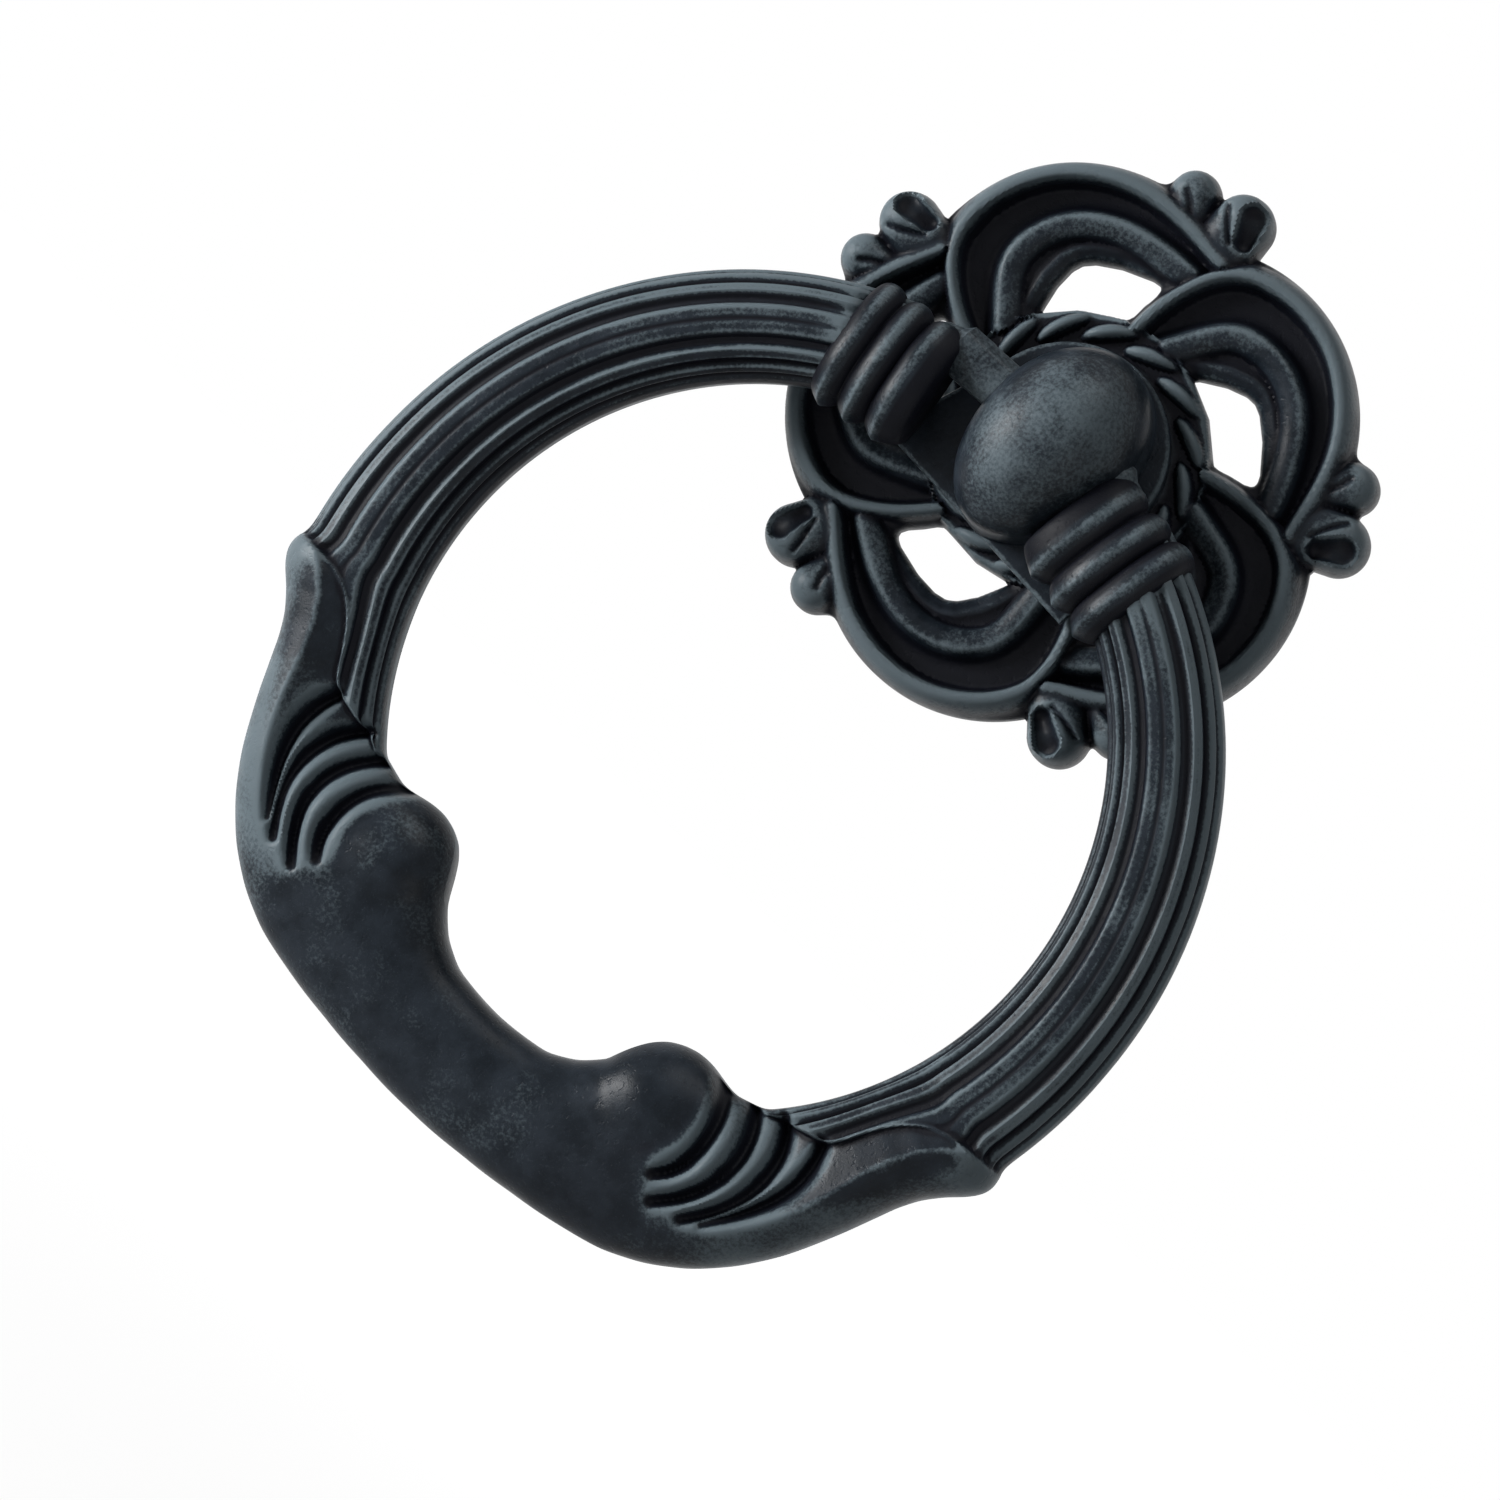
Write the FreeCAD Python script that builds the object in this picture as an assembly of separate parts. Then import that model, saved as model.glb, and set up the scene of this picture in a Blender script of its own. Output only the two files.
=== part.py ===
import FreeCAD
import Part
import os
from math import atan2, cos, degrees, pi, radians, sin

# A cast ring pull: a pinwheel rosette, a domed boss riveted through it, and a reeded ring on two trunnions.
# Millimetres. The origin is the middle of the rosette's back face. +X is right, +Z is up, the front faces -Y.
# A height is measured out from the mounting plane, so it is -Y.
# Plan angles run anticlockwise seen from the front.

# Heights above the mounting plane
CHANNEL_FLOOR = 1.3
HUB_FACE = 2.4
RIDGE_CREST = 2.8
RIB_CREST = 3.1
ROPE_CREST = 3.3
RIM_EDGE = 2.1
RIM_CREST = 3.4
FLANGE_FACE = 4.1
RING_BACK = 4.6
RING_MIDDLE = 7.7
DOME_SPRING = 7.9

# Rosette
PETALS = 5
ARC_STEP = 8.5
ROSETTE_TURN = 10.0
LOBE_RADIUS = 12.2
LOBE_CENTRE = 8.08
LOBE_ANGLE = 30.1
RIM_WIDTH = 2.1
CREST_INSET = 1.2
RIB_HALF_WIDTH = 0.8
RIB_BULGE = 1.2
RIB_ANGLES = (75.0, 66.0, 58.5)
RIDGE_ANGLES = (60.0, 38.0, 0.0)
RIDGE_HALF_WIDTH = 1.0
RIDGE_ROOT = 0.7
RIDGE_FALL = 0.8
WELD = 0.3
BAND_REACH = 3.5
BAND_SHOULDER = 0.5
BAND_EDGE = 0.2
HUB_RADIUS = 9.9
ROPE_RADIUS = 8.5
ROPE_STRANDS = 16
STRAND_RADIUS = 0.65
STRAND_CREST = 0.45
STRAND_LENGTH = 3.4
STRAND_SLANT = -22.0
BEAD_RADIUS = 1.6
BEAD_REACH = 21.1
BEAD_ANGLE = 6.5
BEAD_TOP = 3.2
CURL_RADIUS = 2.2
CURL_REACH = 21.9
CURL_ANGLE = -4.5
CURL_TOP = 3.7
VOLUTE_STEM = 2.9
VOLUTE_BEVEL = 0.9
VOLUTE_SIDES = 8
WINDOW_ROUND = 0.6
WINDOW_REACH = 13.25
WINDOW_BOW = 0.15
WINDOW_OUTER_ANGLES = (27.5, 3.0)
WINDOW_INNER_ANGLES = (44.0, 6.5)
RIDGE_MARGIN = 2.8
EYE_RADIUS = 0.9
EYE_FLOOR_RADIUS = 0.4
EYE_DEPTH = 0.6

# Boss
BOSS_TURN = -6.0
DOME_HALF_WIDTH = 5.4
DOME_TOP = 6.9
DOME_BOTTOM = -8.3
DOME_WIDEST = 0.0
DOME_RISE = 5.5
DOME_SIDES = 28
DOME_LEVELS = 6
FLANGE_RADIUS = 7.2
APRON_DROP = 8.4
APRON_HALF_WIDTH = 9.0
APRON_EDGE_HEIGHT = 1.5
APRON_THICKNESS = 0.65
SHANK_RADIUS = 2.7
SHANK_HEAD = 3.5
HEAD_DEPTH = 0.9
WELL_CLEARANCE = 0.15
THREAD_RADIUS = 1.65
THREAD_DEPTH = 5.4
RIVET_CLEARANCE = 0.05

# Ring
RING_SLIDE = -1.85
PIVOT_TO_CENTRE = 29.75
RING_INNER = 24.8
BAR_OUTER_TOP = 32.3
BAR_OUTER_LOW = 33.9
BAR_FRONT = 3.4
REEDS = 7
REED_PITCH = 30.0
REED_DEPTH = 0.1
BAR_START = 24.0
BAR_LOW = 110.0
BAR_STEP = 7.0
BAR_STEPS = 16
TRUNNION_RADIUS = 1.92
TRUNNION_SIDES = 10
TRUNNION_TIP = 2.4
BORE_RADIUS = 2.0
COLLAR_PITCH = 2.35
COLLAR_OUT = 10.35
COLLAR_RISE = 25.6
COLLAR_TILT = 11.5
BEAD_HALF_LENGTH = 4.9
COLLAR_BACK = 4.45
COLLAR_FRONT = 11.6
COLLAR_SIDES = 16
BEAD_GROOVE = 0.1
BEAD_BEVEL = 0.6
CORE_INSET = 0.7
SCROLL_SIDES = 16
KNOB_CENTRE = 25.5
KNOB_ANGLE = 150.5
KNOB_RADIUS = 4.7
KNOB_FRONT = 4.5
KNOB_SIDES = 20
KNOB_LEVELS = 5
GADROON_ROOT = 9.2
GADROON_SHOULDER = 11.1
GADROON_CREST = 12.0
GADROON_HALF_WIDTH = 1.1


def plan(radius, angle, height=0.0):
    """A point of the rosette by its polar place and its height."""
    turn = radians(angle)
    return FreeCAD.Vector(radius * cos(turn), -height, radius * sin(turn))


def petal_point(radius, angle, height=0.0):
    """A point of the first petal. Its angles start at the volutes on the petal's clockwise side."""
    return plan(radius, 90.0 + ROSETTE_TURN + angle, height)


def turned(shape, angle, centre=FreeCAD.Vector(0, 0, 0)):
    """A copy turned anticlockwise, as seen from the front."""
    copy = shape.copy()
    copy.rotate(centre, FreeCAD.Vector(0, -1, 0), angle)
    return copy


def stacked(outlines):
    """A solid with flat faces through closed outlines that match point for point."""
    faces = [Part.Face(Part.makePolygon(outline + outline[:1])) for outline in (outlines[0], outlines[-1])]
    for low, high in zip(outlines, outlines[1:]):
        for here in range(len(low)):
            near = (here + 1) % len(low)
            corners = [low[here], low[near], high[near], high[here], low[here]]
            faces.append(Part.Face(Part.makePolygon(corners)))
    solid = Part.Solid(Part.Shell(faces))
    if solid.Volume < 0:
        solid.reverse()
    return solid


def arc_bar(profile, centre, radius, start, turn):
    """A bar along an arc about a plan centre, in short straight steps. The profile is (outward, height)."""
    steps = max(2, round(abs(turn) / ARC_STEP))
    sections = []
    for step in range(steps + 1):
        angle = start + turn * step / steps
        sections.append([centre + plan(radius + out, angle, height) for out, height in profile])
    return stacked(sections)


def bar_through(profile, first, middle, last):
    """The same bar, along the arc through three plan points."""
    centre = Part.Arc(first, middle, last).toShape().Curve.Center
    start, through, stop = [degrees(atan2(p.z - centre.z, p.x - centre.x)) for p in (first, middle, last)]
    turn = (stop - start) % 360.0
    if (through - start) % 360.0 > turn:
        turn -= 360.0
    return arc_bar(profile, centre, (first - centre).Length, start, turn)


def lobe_corner():
    """How far out two lobes' outlines meet."""
    half = pi / PETALS
    return LOBE_CENTRE * cos(half) + (LOBE_RADIUS ** 2 - (LOBE_CENTRE * sin(half)) ** 2) ** 0.5


def lobe_spread():
    """Half the angle of a lobe's outline about the lobe's own centre."""
    half = pi / PETALS
    corner = lobe_corner()
    return degrees(atan2(corner * sin(half), corner * cos(half) - LOBE_CENTRE))


def rosette_plate():
    """The flat web that carries the petals, five equal lobes."""
    spread = lobe_spread()
    steps = round(2 * spread / ARC_STEP)
    points = []
    for petal in range(PETALS):
        middle = LOBE_ANGLE + petal * 360.0 / PETALS
        centre = petal_point(LOBE_CENTRE, middle)
        for step in range(steps):
            angle = 90.0 + ROSETTE_TURN + middle - spread + 2 * spread * step / steps
            points.append(centre + plan(LOBE_RADIUS, angle))
    return Part.Face(Part.makePolygon(points + points[:1])).extrude(FreeCAD.Vector(0, -CHANNEL_FLOOR, 0))


def petal_rim():
    """The raised outer edge of a petal, with its crest near the outline."""
    profile = [
        (-RIM_WIDTH, 0.0),
        (-RIM_WIDTH, CHANNEL_FLOOR),
        (-CREST_INSET, RIM_CREST),
        (0.0, RIM_EDGE),
        (0.0, 0.0),
    ]
    spread = lobe_spread()
    start = 90.0 + ROSETTE_TURN + LOBE_ANGLE - spread
    return arc_bar(profile, petal_point(LOBE_CENTRE, LOBE_ANGLE), LOBE_RADIUS, start, 2 * spread)


def petal_rib():
    """The thin rib that runs from the hub out to the start of the rim."""
    side = RIB_HALF_WIDTH
    profile = [(-side, 0.0), (-side, CHANNEL_FLOOR), (0.0, RIB_CREST), (side, CHANNEL_FLOOR), (side, 0.0)]
    root = HUB_RADIUS - WELD
    tip = lobe_corner()
    middle = (root + tip) / 2 + RIB_BULGE
    line = [petal_point(reach, angle) for reach, angle in zip((root, middle, tip), RIB_ANGLES)]
    return bar_through(profile, *line)


def petal_ridge():
    """The ridge between the petal's channel and the band round its opening."""
    profile = [
        (RIDGE_HALF_WIDTH, 0.0),
        (RIDGE_HALF_WIDTH, CHANNEL_FLOOR),
        (0.0, RIDGE_CREST),
        (-0.4 * BAND_REACH, CHANNEL_FLOOR + BAND_SHOULDER),
        (-BAND_REACH, CHANNEL_FLOOR + BAND_EDGE),
        (-BAND_REACH, 0.0),
    ]
    middle = WINDOW_REACH + RIDGE_MARGIN
    reaches = (HUB_RADIUS + RIDGE_ROOT, middle, middle - RIDGE_FALL)
    return bar_through(profile, *[petal_point(reach, angle) for reach, angle in zip(reaches, RIDGE_ANGLES)])


def petal_opening():
    """The pierced window beside the hub, with rounded corners."""
    outer = [petal_point(WINDOW_REACH, angle, -1.0) for angle in WINDOW_OUTER_ANGLES]
    inner = [petal_point(HUB_RADIUS, angle, -1.0) for angle in WINDOW_INNER_ANGLES]
    bow = petal_point(WINDOW_REACH + WINDOW_BOW, sum(WINDOW_OUTER_ANGLES) / 2, -1.0)
    hub_side = petal_point(HUB_RADIUS, sum(WINDOW_INNER_ANGLES) / 2, -1.0)
    edges = [
        Part.makeLine(inner[0], outer[0]),
        Part.Arc(outer[0], bow, outer[1]).toShape(),
        Part.makeLine(outer[1], inner[1]),
        Part.Arc(inner[1], hub_side, inner[0]).toShape(),
    ]
    window = Part.Face(Part.Wire(edges)).extrude(FreeCAD.Vector(0, -RIM_CREST - 2.0, 0))
    upright = [e for e in window.Edges if abs(e.tangentAt(e.FirstParameter).y) > 0.99]
    return window.makeFillet(WINDOW_ROUND, upright)


def volute_lobe(radius, reach, angle, top):
    """A rounded finger that lies radially between two petals, with a bevelled top."""
    sections = []
    for height, size in ((0.0, radius), (top - VOLUTE_BEVEL, radius), (top, radius - VOLUTE_BEVEL)):
        root = petal_point(reach - radius - VOLUTE_STEM, angle)
        middle = petal_point(reach - radius, angle)
        points = [root + petal_point(size, angle - 90.0), root + petal_point(size, angle + 90.0)]
        for step in range(VOLUTE_SIDES + 1):
            points.append(middle + petal_point(size, angle + 90.0 - 180.0 * step / VOLUTE_SIDES))
        sections.append([point + FreeCAD.Vector(0, -height, 0) for point in points])
    return stacked(sections)


def volutes():
    """The small bead and the larger curl with its eye."""
    bead = volute_lobe(BEAD_RADIUS, BEAD_REACH, BEAD_ANGLE, BEAD_TOP)
    curl = volute_lobe(CURL_RADIUS, CURL_REACH, CURL_ANGLE, CURL_TOP)
    eye = petal_point(CURL_REACH - CURL_RADIUS, CURL_ANGLE)
    pocket = []
    levels = ((CURL_TOP - EYE_DEPTH, EYE_FLOOR_RADIUS), (CURL_TOP, EYE_RADIUS), (CURL_TOP + 1.0, EYE_RADIUS))
    for height, radius in levels:
        pocket.append([eye + plan(radius, 45.0 * corner, height) for corner in range(8)])
    return bead.fuse(curl.cut(stacked(pocket)))


def rope_strand():
    """One slanted strand of the rope moulding round the hub, faceted."""
    slant = radians(STRAND_SLANT)
    along = FreeCAD.Vector(sin(slant), 0, cos(slant)) * STRAND_LENGTH
    across = FreeCAD.Vector(cos(slant), 0, -sin(slant)) * STRAND_RADIUS
    start = FreeCAD.Vector(ROPE_RADIUS, 0, 0) - along / 2
    profile = [
        (-1.0, CHANNEL_FLOOR),
        (-1.0, HUB_FACE),
        (-STRAND_CREST, ROPE_CREST),
        (STRAND_CREST, ROPE_CREST),
        (1.0, HUB_FACE),
        (1.0, CHANNEL_FLOOR),
    ]
    points = [start + across * out + FreeCAD.Vector(0, -height, 0) for out, height in profile]
    return Part.Face(Part.makePolygon(points + points[:1])).extrude(along)


def rosette():
    """The cast openwork backplate."""
    unit = [petal_rim(), petal_rib(), petal_ridge(), volutes()]
    step = 360.0 / PETALS
    relief = [turned(piece, step * petal) for petal in range(PETALS) for piece in unit]
    body = rosette_plate().multiFuse(relief)
    body = body.cut([turned(petal_opening(), step * petal) for petal in range(PETALS)])
    out = FreeCAD.Vector(0, -1, 0)
    hub = Part.makeCylinder(HUB_RADIUS, HUB_FACE, FreeCAD.Vector(0, 0, 0), out)
    well = Part.makeCylinder(FLANGE_RADIUS + WELL_CLEARANCE, RIM_CREST, plan(0, 0, HUB_FACE), out)
    strands = [turned(rope_strand(), 360.0 / ROPE_STRANDS * turn) for turn in range(ROPE_STRANDS)]
    body = body.multiFuse([hub] + strands).cut(well)
    return body.cut(rivet_hole()).removeSplitter()


def rivet(radius, head, over):
    """The shank's round body with its spread end, or the hole for it."""
    out = FreeCAD.Vector(0, -1, 0)
    shank = Part.makeCylinder(radius, HUB_FACE + 2 * over, plan(0, 0, -over), out)
    return shank.fuse(Part.makeCylinder(head, HEAD_DEPTH + over, plan(0, 0, -over), out))


def rivet_hole():
    """The stepped hole that the shank fills."""
    return rivet(SHANK_RADIUS + RIVET_CLEARANCE, SHANK_HEAD + RIVET_CLEARANCE, 0.5)


def dome_outline(size, height):
    """The egg's outline, broad end up, shrunk towards its widest level."""
    points = []
    for step in range(DOME_SIDES):
        turn = 2 * pi * step / DOME_SIDES
        end = DOME_TOP if cos(turn) > 0 else DOME_BOTTOM
        z = DOME_WIDEST + (end - DOME_WIDEST) * abs(cos(turn)) * size
        points.append(FreeCAD.Vector(DOME_HALF_WIDTH * sin(turn) * size, -height, z))
    return points


def dome():
    """The egg-shaped knob: upright walls and a rounded front."""
    outlines = [dome_outline(1.0, FLANGE_FACE - APRON_THICKNESS)]
    for level in range(DOME_LEVELS):
        turn = pi / 2 * (level / (DOME_LEVELS - 0.6))
        outlines.append(dome_outline(cos(turn), DOME_SPRING + DOME_RISE * sin(turn)))
    return turned(stacked(outlines), BOSS_TURN)


def saddle():
    """The round flange on the hub and the flat apron below it, which has one straight edge."""
    out = FreeCAD.Vector(0, -1, 0)
    flange = Part.makeCylinder(FLANGE_RADIUS, FLANGE_FACE - HUB_FACE, plan(0, 0, HUB_FACE), out)
    back = APRON_THICKNESS - FLANGE_FACE
    corners = [
        FreeCAD.Vector(-FLANGE_RADIUS, back, 0),
        FreeCAD.Vector(-APRON_HALF_WIDTH, back, APRON_EDGE_HEIGHT - APRON_DROP),
        FreeCAD.Vector(-APRON_HALF_WIDTH, back, -APRON_DROP),
        FreeCAD.Vector(APRON_HALF_WIDTH, back, -APRON_DROP),
        FreeCAD.Vector(APRON_HALF_WIDTH, back, APRON_EDGE_HEIGHT - APRON_DROP),
        FreeCAD.Vector(FLANGE_RADIUS, back, 0),
    ]
    apron = Part.Face(Part.makePolygon(corners + corners[:1])).extrude(out * APRON_THICKNESS)
    return turned(flange.fuse(apron), BOSS_TURN)


def trunnion_slots():
    """A cross bore, and on each side of the shank a slot from the back through which a trunnion goes in."""
    reach = 2 * DOME_HALF_WIDTH
    bore = Part.makeCylinder(
        BORE_RADIUS,
        2 * reach,
        FreeCAD.Vector(-reach, -RING_MIDDLE, 0),
        FreeCAD.Vector(1, 0, 0),
    )
    start = SHANK_RADIUS + RIVET_CLEARANCE
    corner = FreeCAD.Vector(start, -RING_MIDDLE, -BORE_RADIUS)
    right = Part.makeBox(reach, RING_MIDDLE, 2 * BORE_RADIUS, corner)
    left = right.mirror(FreeCAD.Vector(0, 0, 0), FreeCAD.Vector(1, 0, 0))
    return bore.multiFuse([right, left])


def boss():
    """Dome, flange, apron and tapped shank, one casting."""
    body = dome().fuse(saddle()).cut(trunnion_slots())
    body = body.fuse(rivet(SHANK_RADIUS, SHANK_HEAD, 0.0))
    thread = Part.makeCylinder(THREAD_RADIUS, THREAD_DEPTH + 1, plan(0, 0, -1.0), FreeCAD.Vector(0, -1, 0))
    return body.cut(thread).removeSplitter()


def ring_point(radius, offset, forward, side=1):
    """A point of the ring: radius, angle from its top, place before its middle plane, right or left."""
    turn = radians(offset)
    z = radius * cos(turn) - PIVOT_TO_CENTRE
    return FreeCAD.Vector(side * radius * sin(turn), -RING_MIDDLE - forward, z)


def bar_outer(offset):
    """The bar widens from its collars down to the leaves."""
    share = min(max((offset - BAR_START) / (BAR_LOW - BAR_START), 0.0), 1.0)
    return BAR_OUTER_TOP + (BAR_OUTER_LOW - BAR_OUTER_TOP) * share


def bar_section(offset):
    """Seven reeds over the front and both sides, and a plain back."""
    half = (bar_outer(offset) - RING_INNER) / 2
    middle = RING_INNER + half
    points = []
    for reed in range(REEDS):
        crest = REED_PITCH * (reed - (REEDS - 1) / 2)
        for turn, depth in ((-REED_PITCH / 2, REED_DEPTH), (-REED_PITCH / 4, 0.0), (REED_PITCH / 4, 0.0)):
            angle = radians(crest + turn)
            size = 1.0 - depth
            out = half * size * sin(angle)
            points.append(ring_point(middle + out, offset, BAR_FRONT * size * cos(angle)))
    back = RING_BACK - RING_MIDDLE
    for share, depth in ((0.93, 0.28), (0.8, 0.75), (0.5, 1.0), (-0.5, 1.0), (-0.8, 0.75)):
        points.append(ring_point(middle + half * share, offset, back * depth))
    return Part.makePolygon(points + points[:1])


def reeded_bar():
    """The right half of the bar, from its collar to the scroll."""
    stations = [BAR_START + BAR_STEP * step for step in range(BAR_STEPS + 1)]
    return Part.makeLoft([bar_section(offset) for offset in stations], True, True)


def oval_section(offset, inner, outer, front):
    """A rounded outline across the ring, between two radii."""
    back = RING_BACK - RING_MIDDLE
    half = (outer - inner) / 2
    points = []
    for step in range(SCROLL_SIDES):
        turn = 2 * pi * (step + 0.5) / SCROLL_SIDES
        rise = sin(turn) * (front if sin(turn) > 0 else -back)
        points.append(ring_point(inner + half + half * cos(turn), offset, rise))
    return Part.makePolygon(points + points[:1])


def scroll():
    """The leaf that rises on the bar's outer edge and swells into the scroll's body."""
    stations = [
        (107.0, 32.4, 34.2, 2.4),
        (108.0, 31.0, 34.6, 3.4),
        (110.0, 29.3, 34.6, 3.9),
        (113.0, 28.3, 33.9, 4.1),
        (118.0, 27.9, 33.2, 4.1),
        (124.0, 27.7, 33.5, 4.1),
        (130.0, 26.9, 34.3, 4.1),
        (135.0, 25.0, 35.1, 4.1),
        (140.0, 23.6, 35.6, 4.1),
        (146.0, 22.3, 35.9, 4.1),
        (152.0, 21.6, 35.7, 4.0),
        (158.0, 22.4, 35.0, 3.8),
        (165.0, 23.9, 34.2, 3.5),
        (172.0, 24.7, 33.9, 3.4),
        (180.0, 24.8, 33.8, 3.3),
    ]
    return Part.makeLoft([oval_section(*station) for station in stations], True, True)


def knob():
    """The smooth ball on the scroll's inner side."""
    centre = ring_point(KNOB_CENTRE, KNOB_ANGLE, 0.0)
    outlines = []
    for level in range(KNOB_LEVELS):
        turn = pi / 2 * (level / (KNOB_LEVELS - 0.6))
        level_radius = KNOB_RADIUS * cos(turn)
        height = KNOB_FRONT * sin(turn)
        sides = [360.0 * side / KNOB_SIDES for side in range(KNOB_SIDES)]
        outlines.append([centre + plan(level_radius, angle, height) for angle in sides])
    return stacked(outlines)


def gadroon(inner, middle, outer):
    """A raised curved ridge on the scroll."""
    side = GADROON_HALF_WIDTH
    profile = [
        (-side, GADROON_ROOT),
        (-0.8 * side, GADROON_SHOULDER),
        (0.0, GADROON_CREST),
        (0.8 * side, GADROON_SHOULDER),
        (side, GADROON_ROOT),
    ]
    points = []
    for offset, radius in (inner, middle, outer):
        point = ring_point(radius, offset, 0.0)
        points.append(FreeCAD.Vector(point.x, 0, point.z))
    return bar_through(profile, *points)


def gadroons():
    """Three ridges that fan out from the scroll's inner edge."""
    lines = [
        ((127.7, 27.8), (133.0, 30.65), (142.5, 32.6)),
        ((131.5, 26.4), (136.5, 29.3), (146.5, 31.4)),
        ((136.5, 24.9), (141.5, 28.1), (148.2, 29.8)),
    ]
    return [gadroon(*line) for line in lines]


def collar_bead(place, half_length, half_depth, thickness, bevel):
    """One oval bead across the bar, with bevelled edges."""
    tilt = radians(COLLAR_TILT)
    along = FreeCAD.Vector(cos(tilt), 0, -sin(tilt))
    up = FreeCAD.Vector(sin(tilt), 0, cos(tilt))
    forward = FreeCAD.Vector(0, -1, 0)
    height = -(COLLAR_BACK + COLLAR_FRONT) / 2
    centre = FreeCAD.Vector(COLLAR_OUT, height, COLLAR_RISE - PIVOT_TO_CENTRE) + along * place
    outlines = []
    edge = 0.5 - bevel / thickness
    face = 1.0 - bevel / half_depth
    for side, size in ((-0.5, face), (-edge, 1.0), (edge, 1.0), (0.5, face)):
        points = []
        for step in range(COLLAR_SIDES):
            turn = 2 * pi * (step + 0.5) / COLLAR_SIDES
            rise = up * (half_length * cos(turn)) + forward * (half_depth * sin(turn))
            points.append(centre + along * (side * thickness) + rise * size)
        outlines.append(points)
    return stacked(outlines)


def collar():
    """Three beads on a slimmer core."""
    depth = (COLLAR_FRONT - COLLAR_BACK) / 2
    length = BEAD_HALF_LENGTH
    core_thickness = 3 * COLLAR_PITCH - CORE_INSET
    pieces = [collar_bead(0.0, length - CORE_INSET, depth - CORE_INSET, core_thickness, BEAD_GROOVE)]
    for bead in (-1, 0, 1):
        place = bead * COLLAR_PITCH
        pieces.append(collar_bead(place, length, depth, COLLAR_PITCH - BEAD_GROOVE, BEAD_BEVEL))
    return pieces


def trunnion():
    """The short ribbed stub that turns in the boss."""
    start = FreeCAD.Vector(TRUNNION_TIP, -RING_MIDDLE, 0)
    corners = []
    for side in range(TRUNNION_SIDES):
        turn = 2 * pi * side / TRUNNION_SIDES
        corners.append(start + FreeCAD.Vector(0, TRUNNION_RADIUS * cos(turn), TRUNNION_RADIUS * sin(turn)))
    face = Part.Face(Part.makePolygon(corners + corners[:1]))
    return face.extrude(FreeCAD.Vector(COLLAR_OUT - TRUNNION_TIP, 0, 0))


def ring():
    """The hanging ring, one casting, made of two mirrored halves."""
    pieces = [reeded_bar(), scroll(), knob(), trunnion()] + gadroons() + collar()
    half = pieces[0].multiFuse(pieces[1:])
    whole = half.fuse(half.mirror(FreeCAD.Vector(0, 0, 0), FreeCAD.Vector(1, 0, 0))).removeSplitter()
    whole.translate(FreeCAD.Vector(RING_SLIDE, 0, 0))
    return whole


def write(node, shape):
    """Write one sub-part, a single closed solid."""
    solids = shape.Solids
    print(node, len(solids), "solids", len(shape.Faces), "faces", round(shape.Volume, 1), shape.isValid())
    solids[0].exportStep("parts/" + node + ".step")


os.makedirs("parts", exist_ok=True)
write("rosette", rosette())
write("boss", boss())
write("ring", ring())
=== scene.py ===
import math

import bpy
import numpy as np
from mathutils import Matrix, Vector


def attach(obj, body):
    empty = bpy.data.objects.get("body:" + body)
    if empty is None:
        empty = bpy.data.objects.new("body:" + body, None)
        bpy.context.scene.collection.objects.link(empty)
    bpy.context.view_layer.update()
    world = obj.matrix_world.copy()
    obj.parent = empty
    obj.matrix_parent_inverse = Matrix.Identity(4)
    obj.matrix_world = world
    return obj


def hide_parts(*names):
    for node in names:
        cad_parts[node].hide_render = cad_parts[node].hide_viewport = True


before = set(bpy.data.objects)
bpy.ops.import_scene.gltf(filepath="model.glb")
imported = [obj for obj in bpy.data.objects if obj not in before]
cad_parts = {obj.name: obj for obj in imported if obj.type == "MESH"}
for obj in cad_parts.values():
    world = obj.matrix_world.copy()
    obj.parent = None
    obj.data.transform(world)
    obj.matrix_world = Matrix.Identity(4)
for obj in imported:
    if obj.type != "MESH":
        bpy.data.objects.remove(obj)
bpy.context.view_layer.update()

bl_info = {
    "name": "Ring pull handle",
    "version": (1, 0, 0),
    "blender": (4, 5, 0),
    "location": "3D View > Sidebar > Ring pull",
    "description": "A cast ring pull with an openwork rosette, a domed boss and a reeded ring",
    "category": "Object",
}

MM = 0.001

# Sizes below are millimetres. A height is measured out from the mounting plane, a forward place from the
# ring's middle plane. Petal lines are (angle, radius) in a petal's own frame. Ring lines are (offset from
# the ring's top in degrees, radius), and the ring's tables run along the same offset.
PETALS = 5
PETAL_START = 100.0
LOBE = (30.1, 8.08, 12.15)
CREST_LINE = [
    (75.0, 9.3), (73.5, 10.3), (71.5, 11.5), (69.0, 12.9), (66.5, 14.2), (63.5, 15.5), (60.5, 16.6),
    (56.0, 17.5), (51.0, 18.1), (46.0, 18.6), (41.0, 18.95), (36.0, 19.2), (31.0, 19.25), (26.0, 19.15),
    (21.0, 18.95), (16.0, 18.65), (11.0, 18.25), (6.0, 17.7), (2.0, 17.25), (-3.0, 16.8), (-8.0, 16.45),
]
RIB_LINE = [(75.0, 9.4), (73.5, 10.3), (71.5, 11.5), (69.0, 12.9), (66.5, 14.2), (63.5, 15.5), (60.5, 16.6)]
RIDGE_LINE = [
    (61.0, 9.8), (57.0, 11.0), (55.0, 12.0), (52.5, 13.05), (50.0, 14.1), (46.0, 14.85), (41.0, 15.5),
    (36.0, 15.95), (31.0, 16.2), (26.0, 16.25), (21.0, 16.15), (16.0, 15.95), (11.0, 15.65), (6.0, 15.35),
    (1.0, 15.15), (-4.0, 14.9),
]
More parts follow.
